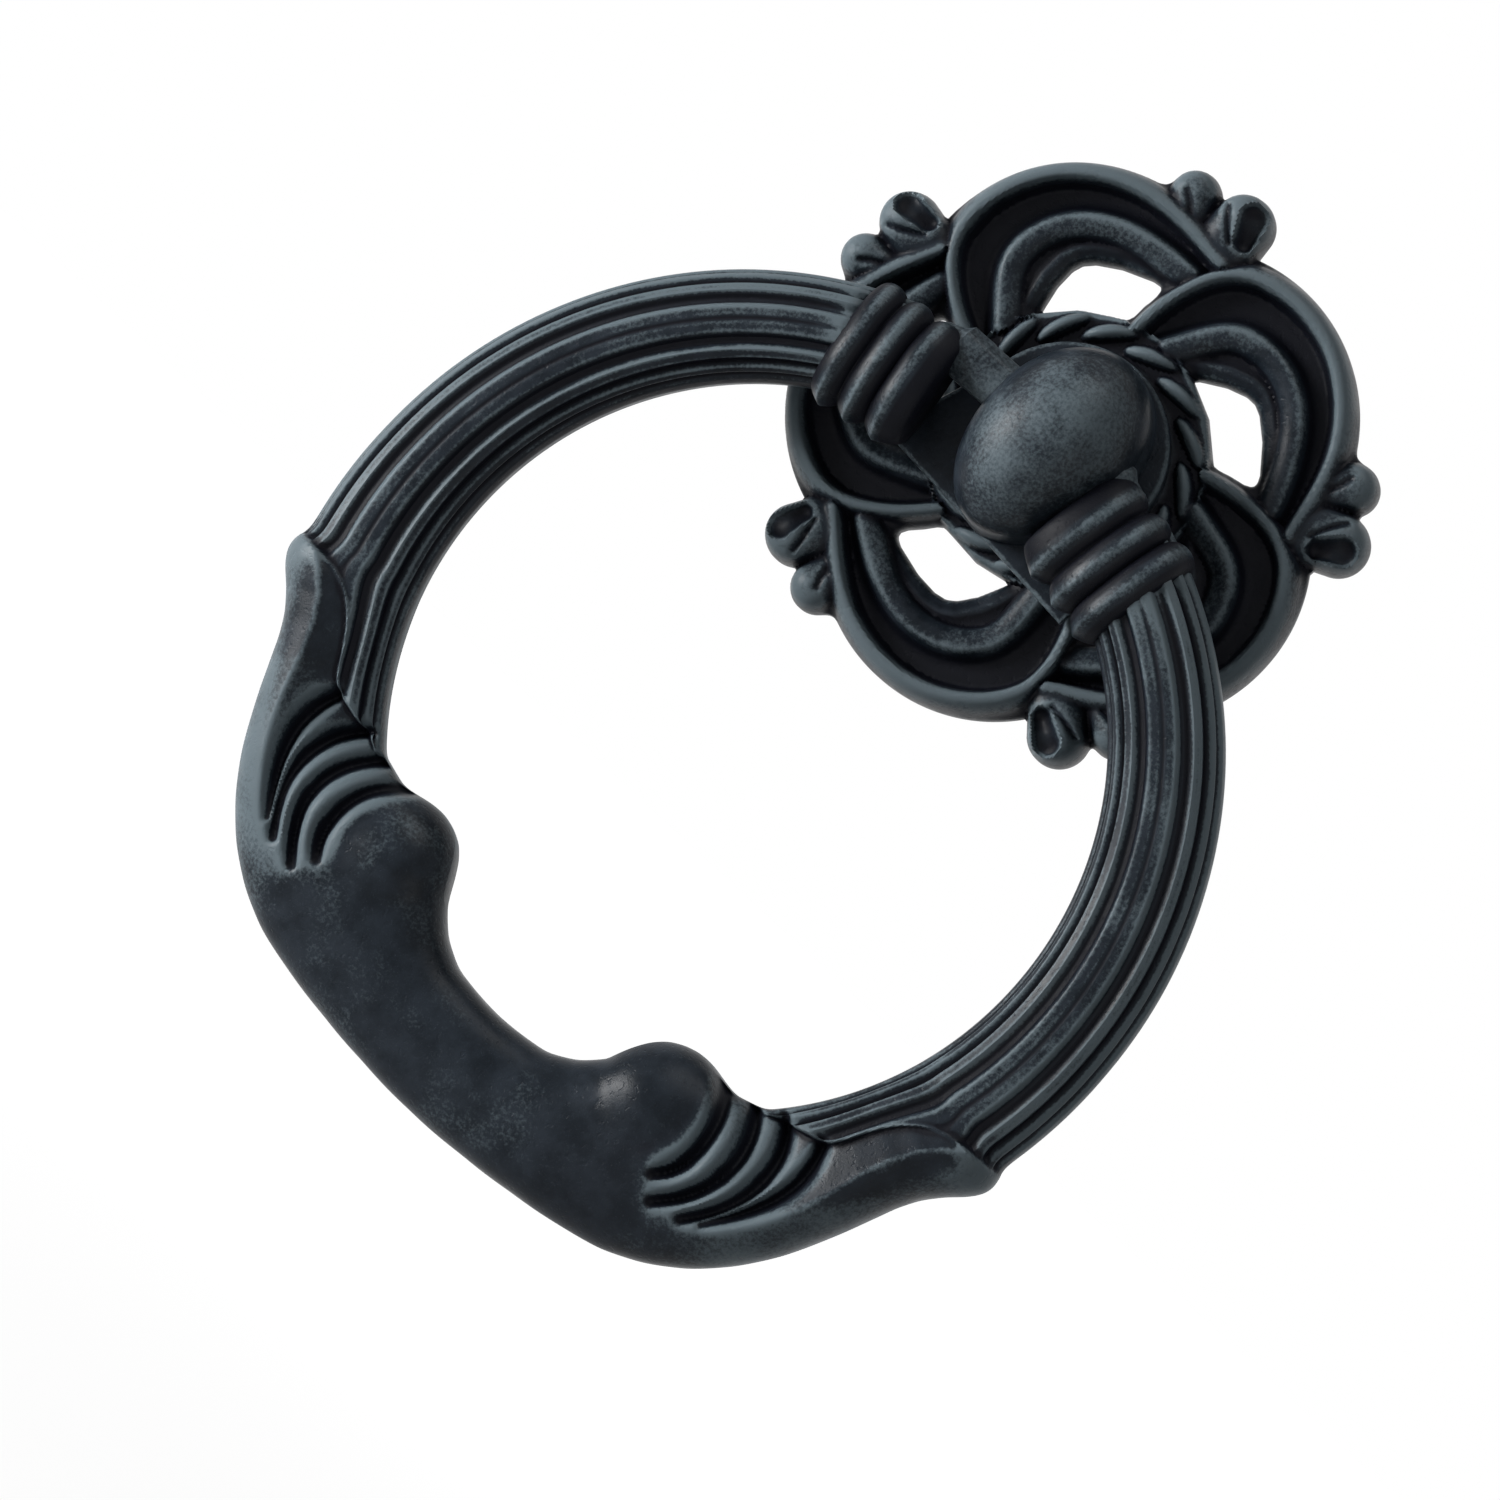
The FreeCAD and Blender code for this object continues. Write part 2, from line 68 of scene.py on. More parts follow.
WINDOW_LINE = [
    (44.5, 9.9), (41.5, 10.5), (36.5, 11.7), (31.5, 12.75), (28.5, 13.15), (24.5, 13.3), (16.5, 13.3),
    (6.5, 13.25), (3.9, 13.15), (2.7, 12.9), (3.0, 12.3), (5.0, 11.3), (6.7, 10.4), (8.3, 10.0),
    (11.0, 9.9), (27.5, 9.88),
]
GROOVE_LINES = [
    [
        (125.3, 27.9), (126.4, 28.8), (128.1, 29.8), (130.5, 30.7), (133.3, 31.4), (137.5, 32.1), (141.3, 32.5),
    ],
    [
        (130, 25.42), (130.1, 26.72), (131.2, 28.33), (133.6, 29.95), (137, 31.28), (140.5, 32.02), (143.7, 32.35),
    ],
    [
        (134.8, 24.26), (134.6, 25.66), (135.5, 27.37), (137.6, 28.99), (140.5, 30.32), (144.1, 31.15), (147.5, 31.49),
    ],
    [
        (140, 22.71), (139.2, 24.3), (139.8, 25.91), (141.6, 27.53), (143.8, 28.75), (145.8, 29.47), (147.8, 29.69),
    ],
]
BOSS_TURN = -6.0
# The ring's centre across and up, and its middle plane's height, which is the pivot's too.
RING_PLACE = (-1.85, -29.75, 7.7)
# A knob's offset, radius from the ring's centre, and own radius.
KNOB = (150.6, 25.5, 4.8)
# The right collar's centre: across, forward and up from the ring's centre. Its flank towards the boss is broader.
COLLAR_CENTRE = np.array([10.35, 0.325, 25.6])
COLLAR_FLANK = 0.7


def fade(value, low, high):
    """Nought below low, one above high, and smooth between."""
    share = np.clip((value - low) / (high - low), 0.0, 1.0)
    return share * share * (3.0 - 2.0 * share)


def blend_max(first, second, width):
    """The larger of two values, with a rounded change-over."""
    share = np.clip(0.5 + 0.5 * (first - second) / width, 0.0, 1.0)
    return second + (first - second) * share + width * share * (1.0 - share)


def bell(distance, width):
    """One at nought, and smoothly less on both sides."""
    return np.exp(-(distance / width) ** 2)


def arch(distance, radius):
    """A round top's share of its height, at a distance from its middle."""
    return np.sqrt(np.clip(1.0 - (distance / radius) ** 2, 0.0, 1.0))


def squarer(value, power):
    """A sine or cosine raised to a power, with its sign kept."""
    return np.sign(value) * np.abs(value) ** power


def polar(points):
    """Plan points from (angle, radius) pairs."""
    table = np.array(points, float)
    turn = np.radians(table[:, 0])
    return np.stack([table[:, 1] * np.cos(turn), table[:, 1] * np.sin(turn)], 1)


def measure(line, x, y, closed=False):
    """How far points lie from a drawn line, on which side of it, and how far along it."""
    if closed:
        line = np.vstack([line, line[:1]])
    best = np.full(x.shape, 1e9)
    side = np.zeros(x.shape)
    place = np.zeros(x.shape)
    last = len(line) - 1
    for step in range(last):
        ax, ay = line[step]
        dx, dy = line[step + 1] - line[step]
        share = np.clip(((x - ax) * dx + (y - ay) * dy) / (dx * dx + dy * dy), 0.0, 1.0)
        px = x - ax - share * dx
        py = y - ay - share * dy
        far = np.hypot(px, py)
        near = far < best
        best = np.where(near, far, best)
        side = np.where(near, np.sign(dx * py - dy * px), side)
        place = np.where(near, (step + share) / last, place)
    return best, side, place


def rounded(line):
    """A line with its small jogs eased and its corners cut three times."""
    eased = 0.25 * line[:-2] + 0.5 * line[1:-1] + 0.25 * line[2:]
    line = np.vstack([line[:1], eased, line[-1:]])
    for _ in range(3):
        quarter = line[:-1] * 0.75 + line[1:] * 0.25
        threequarter = line[:-1] * 0.25 + line[1:] * 0.75
        line = np.vstack([line[:1], np.stack([quarter, threequarter], 1).reshape(-1, 2), line[-1:]])
    return line


def inside(line, x, y):
    """Whether points lie inside a closed line."""
    result = np.zeros(x.shape, bool)
    for (ax, ay), (bx, by) in zip(line, np.roll(line, -1, 0)):
        crosses = (ay > y) != (by > y)
        result ^= crosses & (x < (bx - ax) * (y - ay) / (by - ay + 1e-12) + ax)
    return result


def finger(x, y, root, tip, root_radius, tip_radius):
    """How deep points lie in a tapered finger, and how far along it."""
    (ax, ay), (bx, by) = polar([root])[0], polar([tip])[0]
    dx, dy = bx - ax, by - ay
    share = np.clip(((x - ax) * dx + (y - ay) * dy) / (dx * dx + dy * dy), 0.0, 1.0)
    radius = root_radius + (tip_radius - root_radius) * share
    return radius - np.hypot(x - ax - share * dx, y - ay - share * dy), share, radius


def crown(depth, radius):
    """A round top's share of its full rise, at a depth in from its edge."""
    return arch(1.0 - np.clip(depth / radius, 0.0, 1.0), 1.0)


def petal_relief(x, y, sizes):
    """Depth in from a petal's outline and its height, in the petal's own frame."""
    floor = sizes.channel_height / MM
    crest_top = sizes.rim_height / MM
    ridge_top = sizes.ridge_height / MM
    angle = np.degrees(np.arctan2(y, x))
    radius = np.hypot(x, y)
    lobe_x, lobe_y = polar([LOBE[:2]])[0]
    lobe = LOBE[2] - np.hypot(x - lobe_x, y - lobe_y)
    height = np.full(x.shape, floor)

    far, side, place = measure(rounded(polar(CREST_LINE)), x, y)
    top = crest_top - 0.45 * (1.0 - fade(place, 0.0, 0.3))
    rib = 1.0 - fade(place, 0.24, 0.34)
    wall = top - (top - floor) * fade(far, 0.16, 0.95)
    roll = top - 1.5 * np.clip((far - 0.1) / 1.0, 0.0, 1.2) ** 2
    outer = np.where(side > 0, wall * rib + np.maximum(wall, roll) * (1.0 - rib), wall)
    height = blend_max(height, outer, 0.12)

    ridge_far, ridge_side, ridge_place = measure(rounded(polar(RIDGE_LINE)), x, y)
    shelf = floor + 0.22 * (1.0 - fade(ridge_far, 0.8, 1.5)) * fade(ridge_place, 0.04, 0.2)
    outward = np.maximum(ridge_top - (ridge_top - floor) * fade(ridge_far, 0.0, 1.2), shelf)
    band = floor + 0.35
    inward = band + (ridge_top - band) * arch(ridge_far, 1.55)
    window = polar(WINDOW_LINE)
    window_far, _, _ = measure(window, x, y, True)
    window_edge = np.where(inside(window, x, y), -window_far, window_far)
    inward = np.maximum(inward, band + 0.3 * bell(window_edge - 1.0, 0.42))
    rib_angle = np.interp(radius, *np.array(RIB_LINE).T[::-1])
    sector = fade(angle, rib_angle - 73.0, rib_angle - 71.0) * (1.0 - fade(angle, rib_angle - 1.5, rib_angle))
    petal = floor + (np.where(ridge_side > 0, outward, inward) - floor) * sector
    height = blend_max(height, petal, 0.12)

    bead, share, size = finger(x, y, (4.4, 17.0), (6.0, 19.7), 1.5, 1.82)
    bead_top = 1.5 + (1.35 + 0.45 * share) * crown(bead, size)
    crease = measure(polar([(7.2, 19.6), (5.6, 18.9), (4.2, 18.0)]), x, y)[0]
    bead_top = bead_top - 0.3 * bell(crease, 0.22)
    curl, share, size = finger(x, y, (-5.2, 16.8), (-5.5, 19.62), 2.3, 2.2)
    curl_top = 1.7 + (1.45 + 0.6 * share) * crown(curl, size)
    eye = finger(x, y, (-8.6, 18.6), (-7.2, 20.3), 0.75, 1.0)[0]
    curl_top = curl_top - 1.2 * crown(eye, 1.0) * (eye > 0)
    crease = measure(polar([(-1.6, 20.0), (-3.4, 19.0), (-6.4, 17.9)]), x, y)[0]
    curl_top = curl_top - 0.35 * bell(crease, 0.2)
    height = np.where((bead > 0) & (side > 0), blend_max(height, bead_top, 0.1), height)
    height = np.where((curl > 0) & (side > 0), blend_max(height, curl_top, 0.1), height)
    outline = blend_max(blend_max(bead, curl, 0.6), lobe, 1.15)
    return outline, height, window_edge


def rosette_relief(x, z, sizes):
    """Depth in from the rosette's edges, and its height, at plan points."""
    depth = np.full(x.shape, -1e9)
    height = np.zeros(x.shape)
    opening = np.full(x.shape, 1e9)
    for petal in range(PETALS):
        turn = math.radians(PETAL_START + 360.0 / PETALS * petal)
        u = x * math.cos(turn) + z * math.sin(turn)
        v = -x * math.sin(turn) + z * math.cos(turn)
        angle = np.degrees(np.arctan2(v, u))
        near = (angle > -60.0) & (angle < 125.0)
        part = petal_relief(u[near], v[near], sizes)
        depth[near] = np.maximum(depth[near], part[0])
        height[near] = np.maximum(height[near], part[1])
        opening[near] = np.minimum(opening[near], part[2])
    radius = np.hypot(x, z)
    hub_radius, bed_radius, hole_radius, foot = 9.82, 7.4, 3.56, 0.85
    hub = hub_radius - radius
    hub_height = 2.2 + 0.3 * bell(radius - 9.75, 0.2)
    hub_height = np.where(radius < bed_radius, 2.3, hub_height)
    pitch = 2.0 * math.pi / sizes.strands
    turn = np.arctan2(z, x)
    slant = sizes.strand_slant
    for neighbour in (-1, 0, 1):
        offset = (turn + pitch / 2) % pitch - pitch / 2 + neighbour * pitch
        across = radius - sizes.rope_radius / MM
        along = offset * sizes.rope_radius / MM
        length = -along * math.cos(slant) + across * math.sin(slant)
        width = along * math.sin(slant) + across * math.cos(slant)
        lens = 1.0 - (length / 2.05) ** 2 - (width / 0.62) ** 2
        hub_height = np.maximum(hub_height, 2.1 + 1.2 * np.sqrt(np.clip(lens, 0.0, 1.0)))
    height = np.where(hub > 0, blend_max(hub_height, np.where(hub < 0.5, height, 0.0), 0.1), height)
    depth = np.minimum(np.minimum(np.maximum(depth, hub), opening), radius - hole_radius)
    return depth, foot + (height - foot) * crown(depth, 0.5)


def make_mesh(name, points, faces, sharp=40.0):
    """A smooth-shaded mesh object from points in millimetres."""
    mesh = bpy.data.meshes.new(name)
    places = (np.asarray(points, float) * MM).tolist()
    mesh.from_pydata(places, [], [list(map(int, face)) for face in faces])
    mesh.validate()
    mesh.update()
    mesh.shade_smooth()
    mesh.set_sharp_from_angle(angle=math.radians(sharp))
    piece = bpy.data.objects.new(name, mesh)
    bpy.context.scene.collection.objects.link(piece)
    return piece


def mesh_points(mesh):
    """A mesh's points in millimetres."""
    points = np.empty(len(mesh.vertices) * 3)
    mesh.vertices.foreach_get("co", points)
    return points.reshape(-1, 3) / MM


def store_wear_and_light(piece, proud):
    """Keep the wear and the painted light and shade of each point with the mesh, for the coat to read."""
    attribute = piece.data.attributes.new("proud", "FLOAT", "POINT")
    attribute.data.foreach_set("value", np.clip(proud, -1.0, 1.0).astype(np.float32))


def note_wear_and_shade(piece, scale, change):
    """Store how far each point stands out of its surroundings, for worn crests and painted shade in the hollows."""
    mesh = piece.data
    count = len(mesh.vertices)
    points = mesh_points(mesh)
    normals = np.empty(count * 3)
    mesh.vertices.foreach_get("normal", normals)
    normals = normals.reshape(-1, 3)
    edges = np.empty(len(mesh.edges) * 2, np.int64)
    mesh.edges.foreach_get("vertices", edges)
    first, second = edges.reshape(-1, 2).T
    number = np.maximum(np.bincount(first, minlength=count) + np.bincount(second, minlength=count), 1)

    def around(values):
        total = np.bincount(first, values[second], count) + np.bincount(second, values[first], count)
        return total / number

    last_step, near_step, far_share = 29, 5, 0.12
    centre = points.copy()
    for step in range(last_step + 1):
        centre = np.stack([around(centre[:, axis]) for axis in range(3)], 1)
        if step == near_step:
            near = np.sum((points - centre) * normals, 1)
    proud = (near + far_share * np.sum((points - centre) * normals, 1)) / scale
    for _ in range(2):
        proud = 0.5 * proud + 0.5 * around(proud)
    store_wear_and_light(piece, change(points, proud))


def finish_piece(piece, body, material, nodes=()):
    """Give a piece its finish, its body and the CAD nodes it stands for."""
    piece.data.materials.append(material)
    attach(piece, body)
    if nodes:
        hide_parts(*nodes)


def relief_mesh(name, sizes):
    """The rosette: a relief on a grid whose rim points are drawn onto the edges, with a flat back."""
    reach = 22.4
    count = int(2 * reach / (sizes.grid / MM)) + 1
    line = np.linspace(-reach, reach, count)
    x, z = [grid.ravel() for grid in np.meshgrid(line, line, indexing="ij")]
    depth, height = rosette_relief(x, z, sizes)
    within = (depth > 0).reshape(count, count)
    cells = within[:-1, :-1] | within[1:, :-1] | within[:-1, 1:] | within[1:, 1:]
    i, j = np.nonzero(cells)
    corners = np.stack([i * count + j, (i + 1) * count + j, (i + 1) * count + j + 1, i * count + j + 1], 1)
    loose = np.zeros(count * count, bool)
    loose[corners.ravel()] = True
    loose &= depth <= 0
    spots = np.nonzero(loose)[0]
    px, pz = x[spots], z[spots]
    nudge = 0.02
    for _ in range(3):
        here = rosette_relief(px, pz, sizes)[0]
        slope_x = (rosette_relief(px + nudge, pz, sizes)[0] - here) / nudge
        slope_z = (rosette_relief(px, pz + nudge, sizes)[0] - here) / nudge
        steep = np.maximum(slope_x ** 2 + slope_z ** 2, 0.25)
        px = px - here * slope_x / steep
        pz = pz - here * slope_z / steep
    x[spots], z[spots] = px, pz
    height[spots] = rosette_relief(px, pz, sizes)[1]
    used, faces = np.unique(corners, return_inverse=True)
    faces = faces.reshape(-1, 4)
    total = len(used)
    front = np.stack([x[used], -height[used], z[used]], 1)
    back = np.stack([x[used], np.zeros(total), z[used]], 1)
    pairs = np.concatenate([faces[:, [k, (k + 1) % 4]] for k in range(4)])
    key = pairs.min(1) * total + pairs.max(1)
    _, where, number = np.unique(key, return_index=True, return_counts=True)
    rim = pairs[where[number == 1]]
    sides = np.stack([rim[:, 1], rim[:, 0], rim[:, 0] + total, rim[:, 1] + total], 1)
    every = np.concatenate([faces, faces[:, ::-1] + total, sides])
    return make_mesh(name, np.vstack([front, back]), every)


def smooth_table(table, at):
    """A column of a table at given places, with its corners eased."""
    table = np.array(table, float)
    fine = np.linspace(table[0, 0], table[-1, 0], 1200)
    values = np.interp(fine, table[:, 0], table[:, 1])
    spread = np.arange(-20, 21)
    weights = bell(spread, 9.0)
    values = np.convolve(np.pad(values, 20, mode="edge"), weights / weights.sum(), "valid")
    return np.interp(at, fine, values)


RING_INNER = [
    (20, 24.8), (133.5, 24.8), (137, 24.0), (138.6, 23.7), (140, 23.0), (142.5, 21.8), (145, 21.1),
    (148, 20.75), (151, 20.7), (154, 21.1), (157, 21.9), (160, 23.0), (165, 24.1), (170, 24.7),
    (180, 24.8),
]
RING_OUTER = [
    (20, 32.3), (65, 32.95), (90, 33.35), (104, 33.7), (106.2, 33.8), (107.2, 34.45), (109, 34.6),
    (111, 34.2), (113, 33.6), (116, 33.1), (119, 33.05), (123, 33.4), (128, 34.0), (133, 34.7),
    (138, 35.25), (143, 35.6), (148, 35.65), (153, 35.4), (158, 34.8), (165, 34.1), (172, 33.7),
    (180, 33.6),
]
SCROLL_FRONT = [(104, 4.1), (130, 4.1), (148, 4.1), (158, 3.75), (172, 3.4), (180, 3.35)]
LEAF_EDGE = [
    (105.9, 36.0), (106.4, 34.6), (106.8, 33.4), (107.6, 31.6), (109, 29.9), (111, 28.8), (115, 27.8),
    (120, 27.8), (123.0, 28.0), (125.0, 27.9), (126.2, 27.0), (127.6, 26.7), (128.8, 26.4),
    (130.6, 25.4), (132.4, 25.1), (133.4, 25.4), (134.4, 24.6), (136.4, 23.7), (138.0, 23.6),
    (139.4, 23.2), (141.6, 22.2), (143.6, 21.2), (145, 20.0), (146, 18.0),
]
LEAF_CREST = [
    (105.5, 34.0), (107.5, 32.6), (110, 31.2), (113, 30.5), (117, 30.35), (121, 30.7), (125, 31.5),
    (130, 32.7), (136, 33.8), (142, 34.2), (150, 33.6), (180, 30.0),
]
REED_PROFILE = [
    (0, -0.1), (2.5, 0.0), (12.0, 0.0), (15.0, -0.2), (18.0, -0.46), (24.0, -0.5), (27.0, -0.24),
    (29.5, 0.0), (39.5, 0.0), (42.5, -0.26), (46.0, -0.45), (49.5, -0.22), (52.0, 0.0), (60.0, 0.0),
    (63.5, -0.3), (67.0, -0.38), (71.0, -0.08), (75.0, 0.0), (90.0, 0.0), (94.0, -0.22), (98.0, -0.05),
    (102.0, 0.0), (180.0, 0.0),
]


def ring_surface(offset, turn, sizes):
    """Points of the ring's skin: offset from its top, and turn round its section from outward to forward."""
    inner = smooth_table(RING_INNER, offset)
    outer = smooth_table(RING_OUTER, offset)
    half = (outer - inner) / 2
    middle = (outer + inner) / 2
    power = 2.0 / (2.15 + 0.2 * fade(offset, 104.0, 112.0))
    c, s = np.cos(turn), np.sin(turn)
    wide, tall = squarer(c, power), squarer(s, power)
    radius = middle + half * wide
    place = np.radians(offset)
    px, pz = radius * np.sin(place), radius * np.cos(place)
    near = (offset > 103.0) & (offset < 170.0)
    zone = np.where(offset > 120.0, 3.0, -3.0)
    edge, side, _ = measure(ring_line(LEAF_EDGE), px[near], pz[near])
    zone[near] = edge * side
    carved = fade(zone, -0.14, 0.2)
    low, hidden = sizes.bar_front / MM, 2.45
    front = low + (smooth_table(SCROLL_FRONT, offset) - low) * carved
    depth = np.where(s > 0, front, sizes.ring_back / MM)
    depth = hidden + (depth - hidden) * fade(offset, 25.5, 27.8)
    forward = depth * np.where(s > 0, tall, squarer(s, power * 0.8))

    around = np.degrees(np.abs(turn - math.pi / 2))
    around = np.minimum(around, 360.0 - around)
    groove = np.interp(around, *np.array(REED_PROFILE).T) * sizes.reed_share
    groove = groove * (1.0 - fade(zone, -0.3, 0.05)) * (1.0 - fade(offset, 140.0, 143.0))
    normal_r = wide / half
    normal_f = tall / depth
    length = np.maximum(np.hypot(normal_r, normal_f), 1e-9)
    radius = radius + groove * normal_r / length
    forward = forward + groove * normal_f / length

    px, pz = radius * np.sin(place), radius * np.cos(place)
    facing = fade(forward, 0.3, 1.8) * (s > 0)
    off = radius - smooth_table(LEAF_CREST, offset)
    roof = 4.0 - np.where(off < 0, -0.4 * off, 0.42 * off) + 0.12 * bell(off, 0.35)
    leafy = carved * (s > 0) * (1.0 - fade(offset, 128.0, 142.0))
    roofed = -blend_max(-forward, -roof, 0.18)
    forward = forward + leafy * (roofed - forward)
    knob_offset, knob_radius, knob_size = KNOB
    knob_place = math.radians(knob_offset)
    far = np.hypot(px - knob_radius * math.sin(knob_place), pz - knob_radius * math.cos(knob_place))
    ball = sizes.knob_front / MM * arch(far, knob_size)
    near &= s > 0
    forward[near] = blend_max(forward, np.where(far < knob_size, ball, -9.0), 0.5)[near]
    dent = np.zeros(px.shape)
    for line in GROOVE_LINES:
        far, _, along = measure(ring_line(line), px[near], pz[near])
        width = 0.38 + 0.18 * np.sin(math.pi * np.clip(along * 0.9 + 0.1, 0.0, 1.0))
        shade = bell(far, width) * (1.0 - 0.5 * fade(along, 0.75, 1.0))
        dent[near] = np.maximum(dent[near], shade)
    forward = forward - sizes.groove_depth / MM * dent * facing * fade(zone, -0.9, 0.0)
    return np.stack([px, forward, pz], -1)


def ring_line(line):
    """A smooth plan line from (offset, radius) pairs."""
    table = np.array(line, float)
    turn = np.radians(table[:, 0])
    return rounded(np.stack([table[:, 1] * np.sin(turn), table[:, 1] * np.cos(turn)], 1))


def ring_point(points, side):
    """Ring skin points placed in the part's frame."""
    centre_x, centre_z, middle = RING_PLACE
    x = side * points[..., 0] + centre_x
    return np.stack([x, -middle - points[..., 1], points[..., 2] + centre_z], -1)


def skin_faces(rows, columns, flip=False, tip=False):
    """Faces over rows of points: quads joined round each row, and ends closed flat or, the last, to a tip."""
    i, j = [grid.ravel() for grid in np.meshgrid(np.arange(rows - 1), np.arange(columns), indexing="ij")]
    k = (j + 1) % columns
    quads = [i * columns + j, i * columns + k, (i + 1) * columns + k, (i + 1) * columns + j]
    faces = np.stack(quads, 1).tolist()
    last = list(range((rows - 1) * columns, rows * columns))
    if tip:
        faces += [[last[place], last[(place + 1) % columns], rows * columns] for place in range(columns)]
    else:
        faces.append(last)
    faces.append(list(range(columns))[::-1])
    return [face[::-1] for face in faces] if flip else faces


def ring_mesh(name, sizes):
    """The whole ring in one skin, from inside one collar round to inside the other."""
    plain = np.concatenate([np.arange(21.0, 29.0, 0.75), np.arange(29.25, 103.5, 1.5)])
    carved = np.linspace(104.0, 156.0, 210)
    low = np.linspace(156.0, 180.0, 26)[1:]
    half = np.concatenate([plain, carved, low])
    whole = np.concatenate([half, 360.0 - half[-2::-1]])
    folded = np.where(whole > 180.0, 360.0 - whole, whole)
    side = np.where(whole > 180.0, -1.0, 1.0)
    front, back = np.linspace(0, math.pi, 136), np.linspace(math.pi, 2 * math.pi, 26)
    turn = np.concatenate([front[:-1], back[:-1]])
    offset, around = np.meshgrid(folded, turn, indexing="ij")
    shape = offset.shape
    points = ring_surface(offset.ravel(), around.ravel(), sizes).reshape(shape + (3,))
    placed = ring_point(points, side[:, None])
    return make_mesh(name, placed.reshape(-1, 3), skin_faces(*shape))


def collar_lie(side, sizes):
    """The direction through a collar's beads, the direction across them, and their pitch."""
    tilt = math.radians(11.5 if side > 0 else 7.0)
    pitch = sizes.collar_pitch / MM * (1.06 if side > 0 else 0.94)
    along = np.array([math.cos(tilt), 0.0, -math.sin(tilt)])
    up = np.array([math.sin(tilt), 0.0, math.cos(tilt)])
    return along, up, pitch


def bead_wear_and_shade(points, side, sizes):
    """Wear on the beads' crests and painted shade in the grooves between them."""
    along, up, pitch = collar_lie(side, sizes)
    centre_x, centre_z, middle = RING_PLACE
    across = side * (points[:, 0] - centre_x)
    local = np.stack([across, -points[:, 1] - middle, points[:, 2] - centre_z], 1) - COLLAR_CENTRE
    place = local @ along / pitch
    share = np.abs(place - np.clip(np.round(place), -1, 1)) * 2.0
    # Lighter on the crests from wear, and darkened with painted shade in the grooves between beads.
    return 0.58 - 1.15 * fade(share, 0.1, 0.78) - 0.1 * np.abs(local @ up) / 4.9


def collar_mesh(name, side, sizes):
    """Three rounded beads across the bar, in one skin."""
    along, up, pitch = collar_lie(side, sizes)
    places = np.linspace(-1.5 * pitch - COLLAR_FLANK, 1.5 * pitch, 95)
    columns = 96
    turn = np.linspace(0, 2 * math.pi, columns, endpoint=False)
    power = 2.0 / 2.3
    c, s = squarer(np.cos(turn), power), squarer(np.sin(turn), power)
    fullness = 1.45 + 0.55 * np.cos(turn)
    rows = []
    for place in places:
        bead = min(max(round(place / pitch), -1), 1)
        reach = 0.5 * pitch + (COLLAR_FLANK if place < -pitch else 0.0)
        share = min(abs(place - bead * pitch) / reach, 1.0)
        inset = 1.0 - np.sqrt(np.maximum(1.0 - (0.985 * share) ** fullness, 0.0))
        sag = 1.05 * inset + 0.12 * (1 - bead) / 2
        tall = sizes.collar_length / MM - sag
        deep = sizes.collar_depth / MM - sag
        wave = 0.05 * np.sin(3.0 * turn + 2.1 * bead + side) + 0.03 * np.sin(7.0 * turn + bead)
        row = COLLAR_CENTRE + along * place + np.outer(c * (tall - wave ** 2), up)
        row = row + np.outer(s * deep, [0.0, 1.0, 0.0]) + np.outer(wave * (1.0 - inset), along)
        rows.append(row)
    points = ring_point(np.array(rows), side)
    return make_mesh(name, points.reshape(-1, 3), skin_faces(len(places), columns, side < 0), 55.0)


def trunnion_mesh(name, side, sizes):
    """A faceted stub between the boss and a collar."""
    radius = sizes.trunnion_radius / MM
    sides, corner = 10, 0.4
    turns = [2 * math.pi * (step + nudge) / sides for step in range(sides) for nudge in (-corner, corner)]
    forward, up = radius * np.sin(turns), radius * np.cos(turns)
    rows = []
    for place, size in (
        (2.45, 0.85), (2.8, 0.97), (5.4, 0.97), (5.6, 1.0), (6.6, 0.99), (7.3, 1.0), (7.9, 0.7), (9.0, 0.5),
    ):
        rows.append(np.stack([np.full(len(turns), place), forward * size, -RING_PLACE[1] + up * size], 1))
    points = ring_point(np.array(rows), side)
    return make_mesh(name, points.reshape(-1, 3), skin_faces(len(rows), len(turns), side < 0), 15.0)


def turned(points, angle):
    """Points turned anticlockwise about the mounting axis, as seen from the front."""
    turn = math.radians(angle)
    x, y, z = points.T
    return np.stack([x * math.cos(turn) - z * math.sin(turn), y, x * math.sin(turn) + z * math.cos(turn)], 1)


def egg(turn, size, sizes):
    """The dome's outline, broad end up."""
    top, bottom, widest = sizes.dome_top / MM, sizes.dome_bottom / MM, sizes.dome_widest / MM
    c = np.cos(turn)
    end = np.where(c > 0, top, bottom)
    return sizes.dome_half_width / MM * np.sin(turn) * size, widest + (end - widest) * np.abs(c) * size


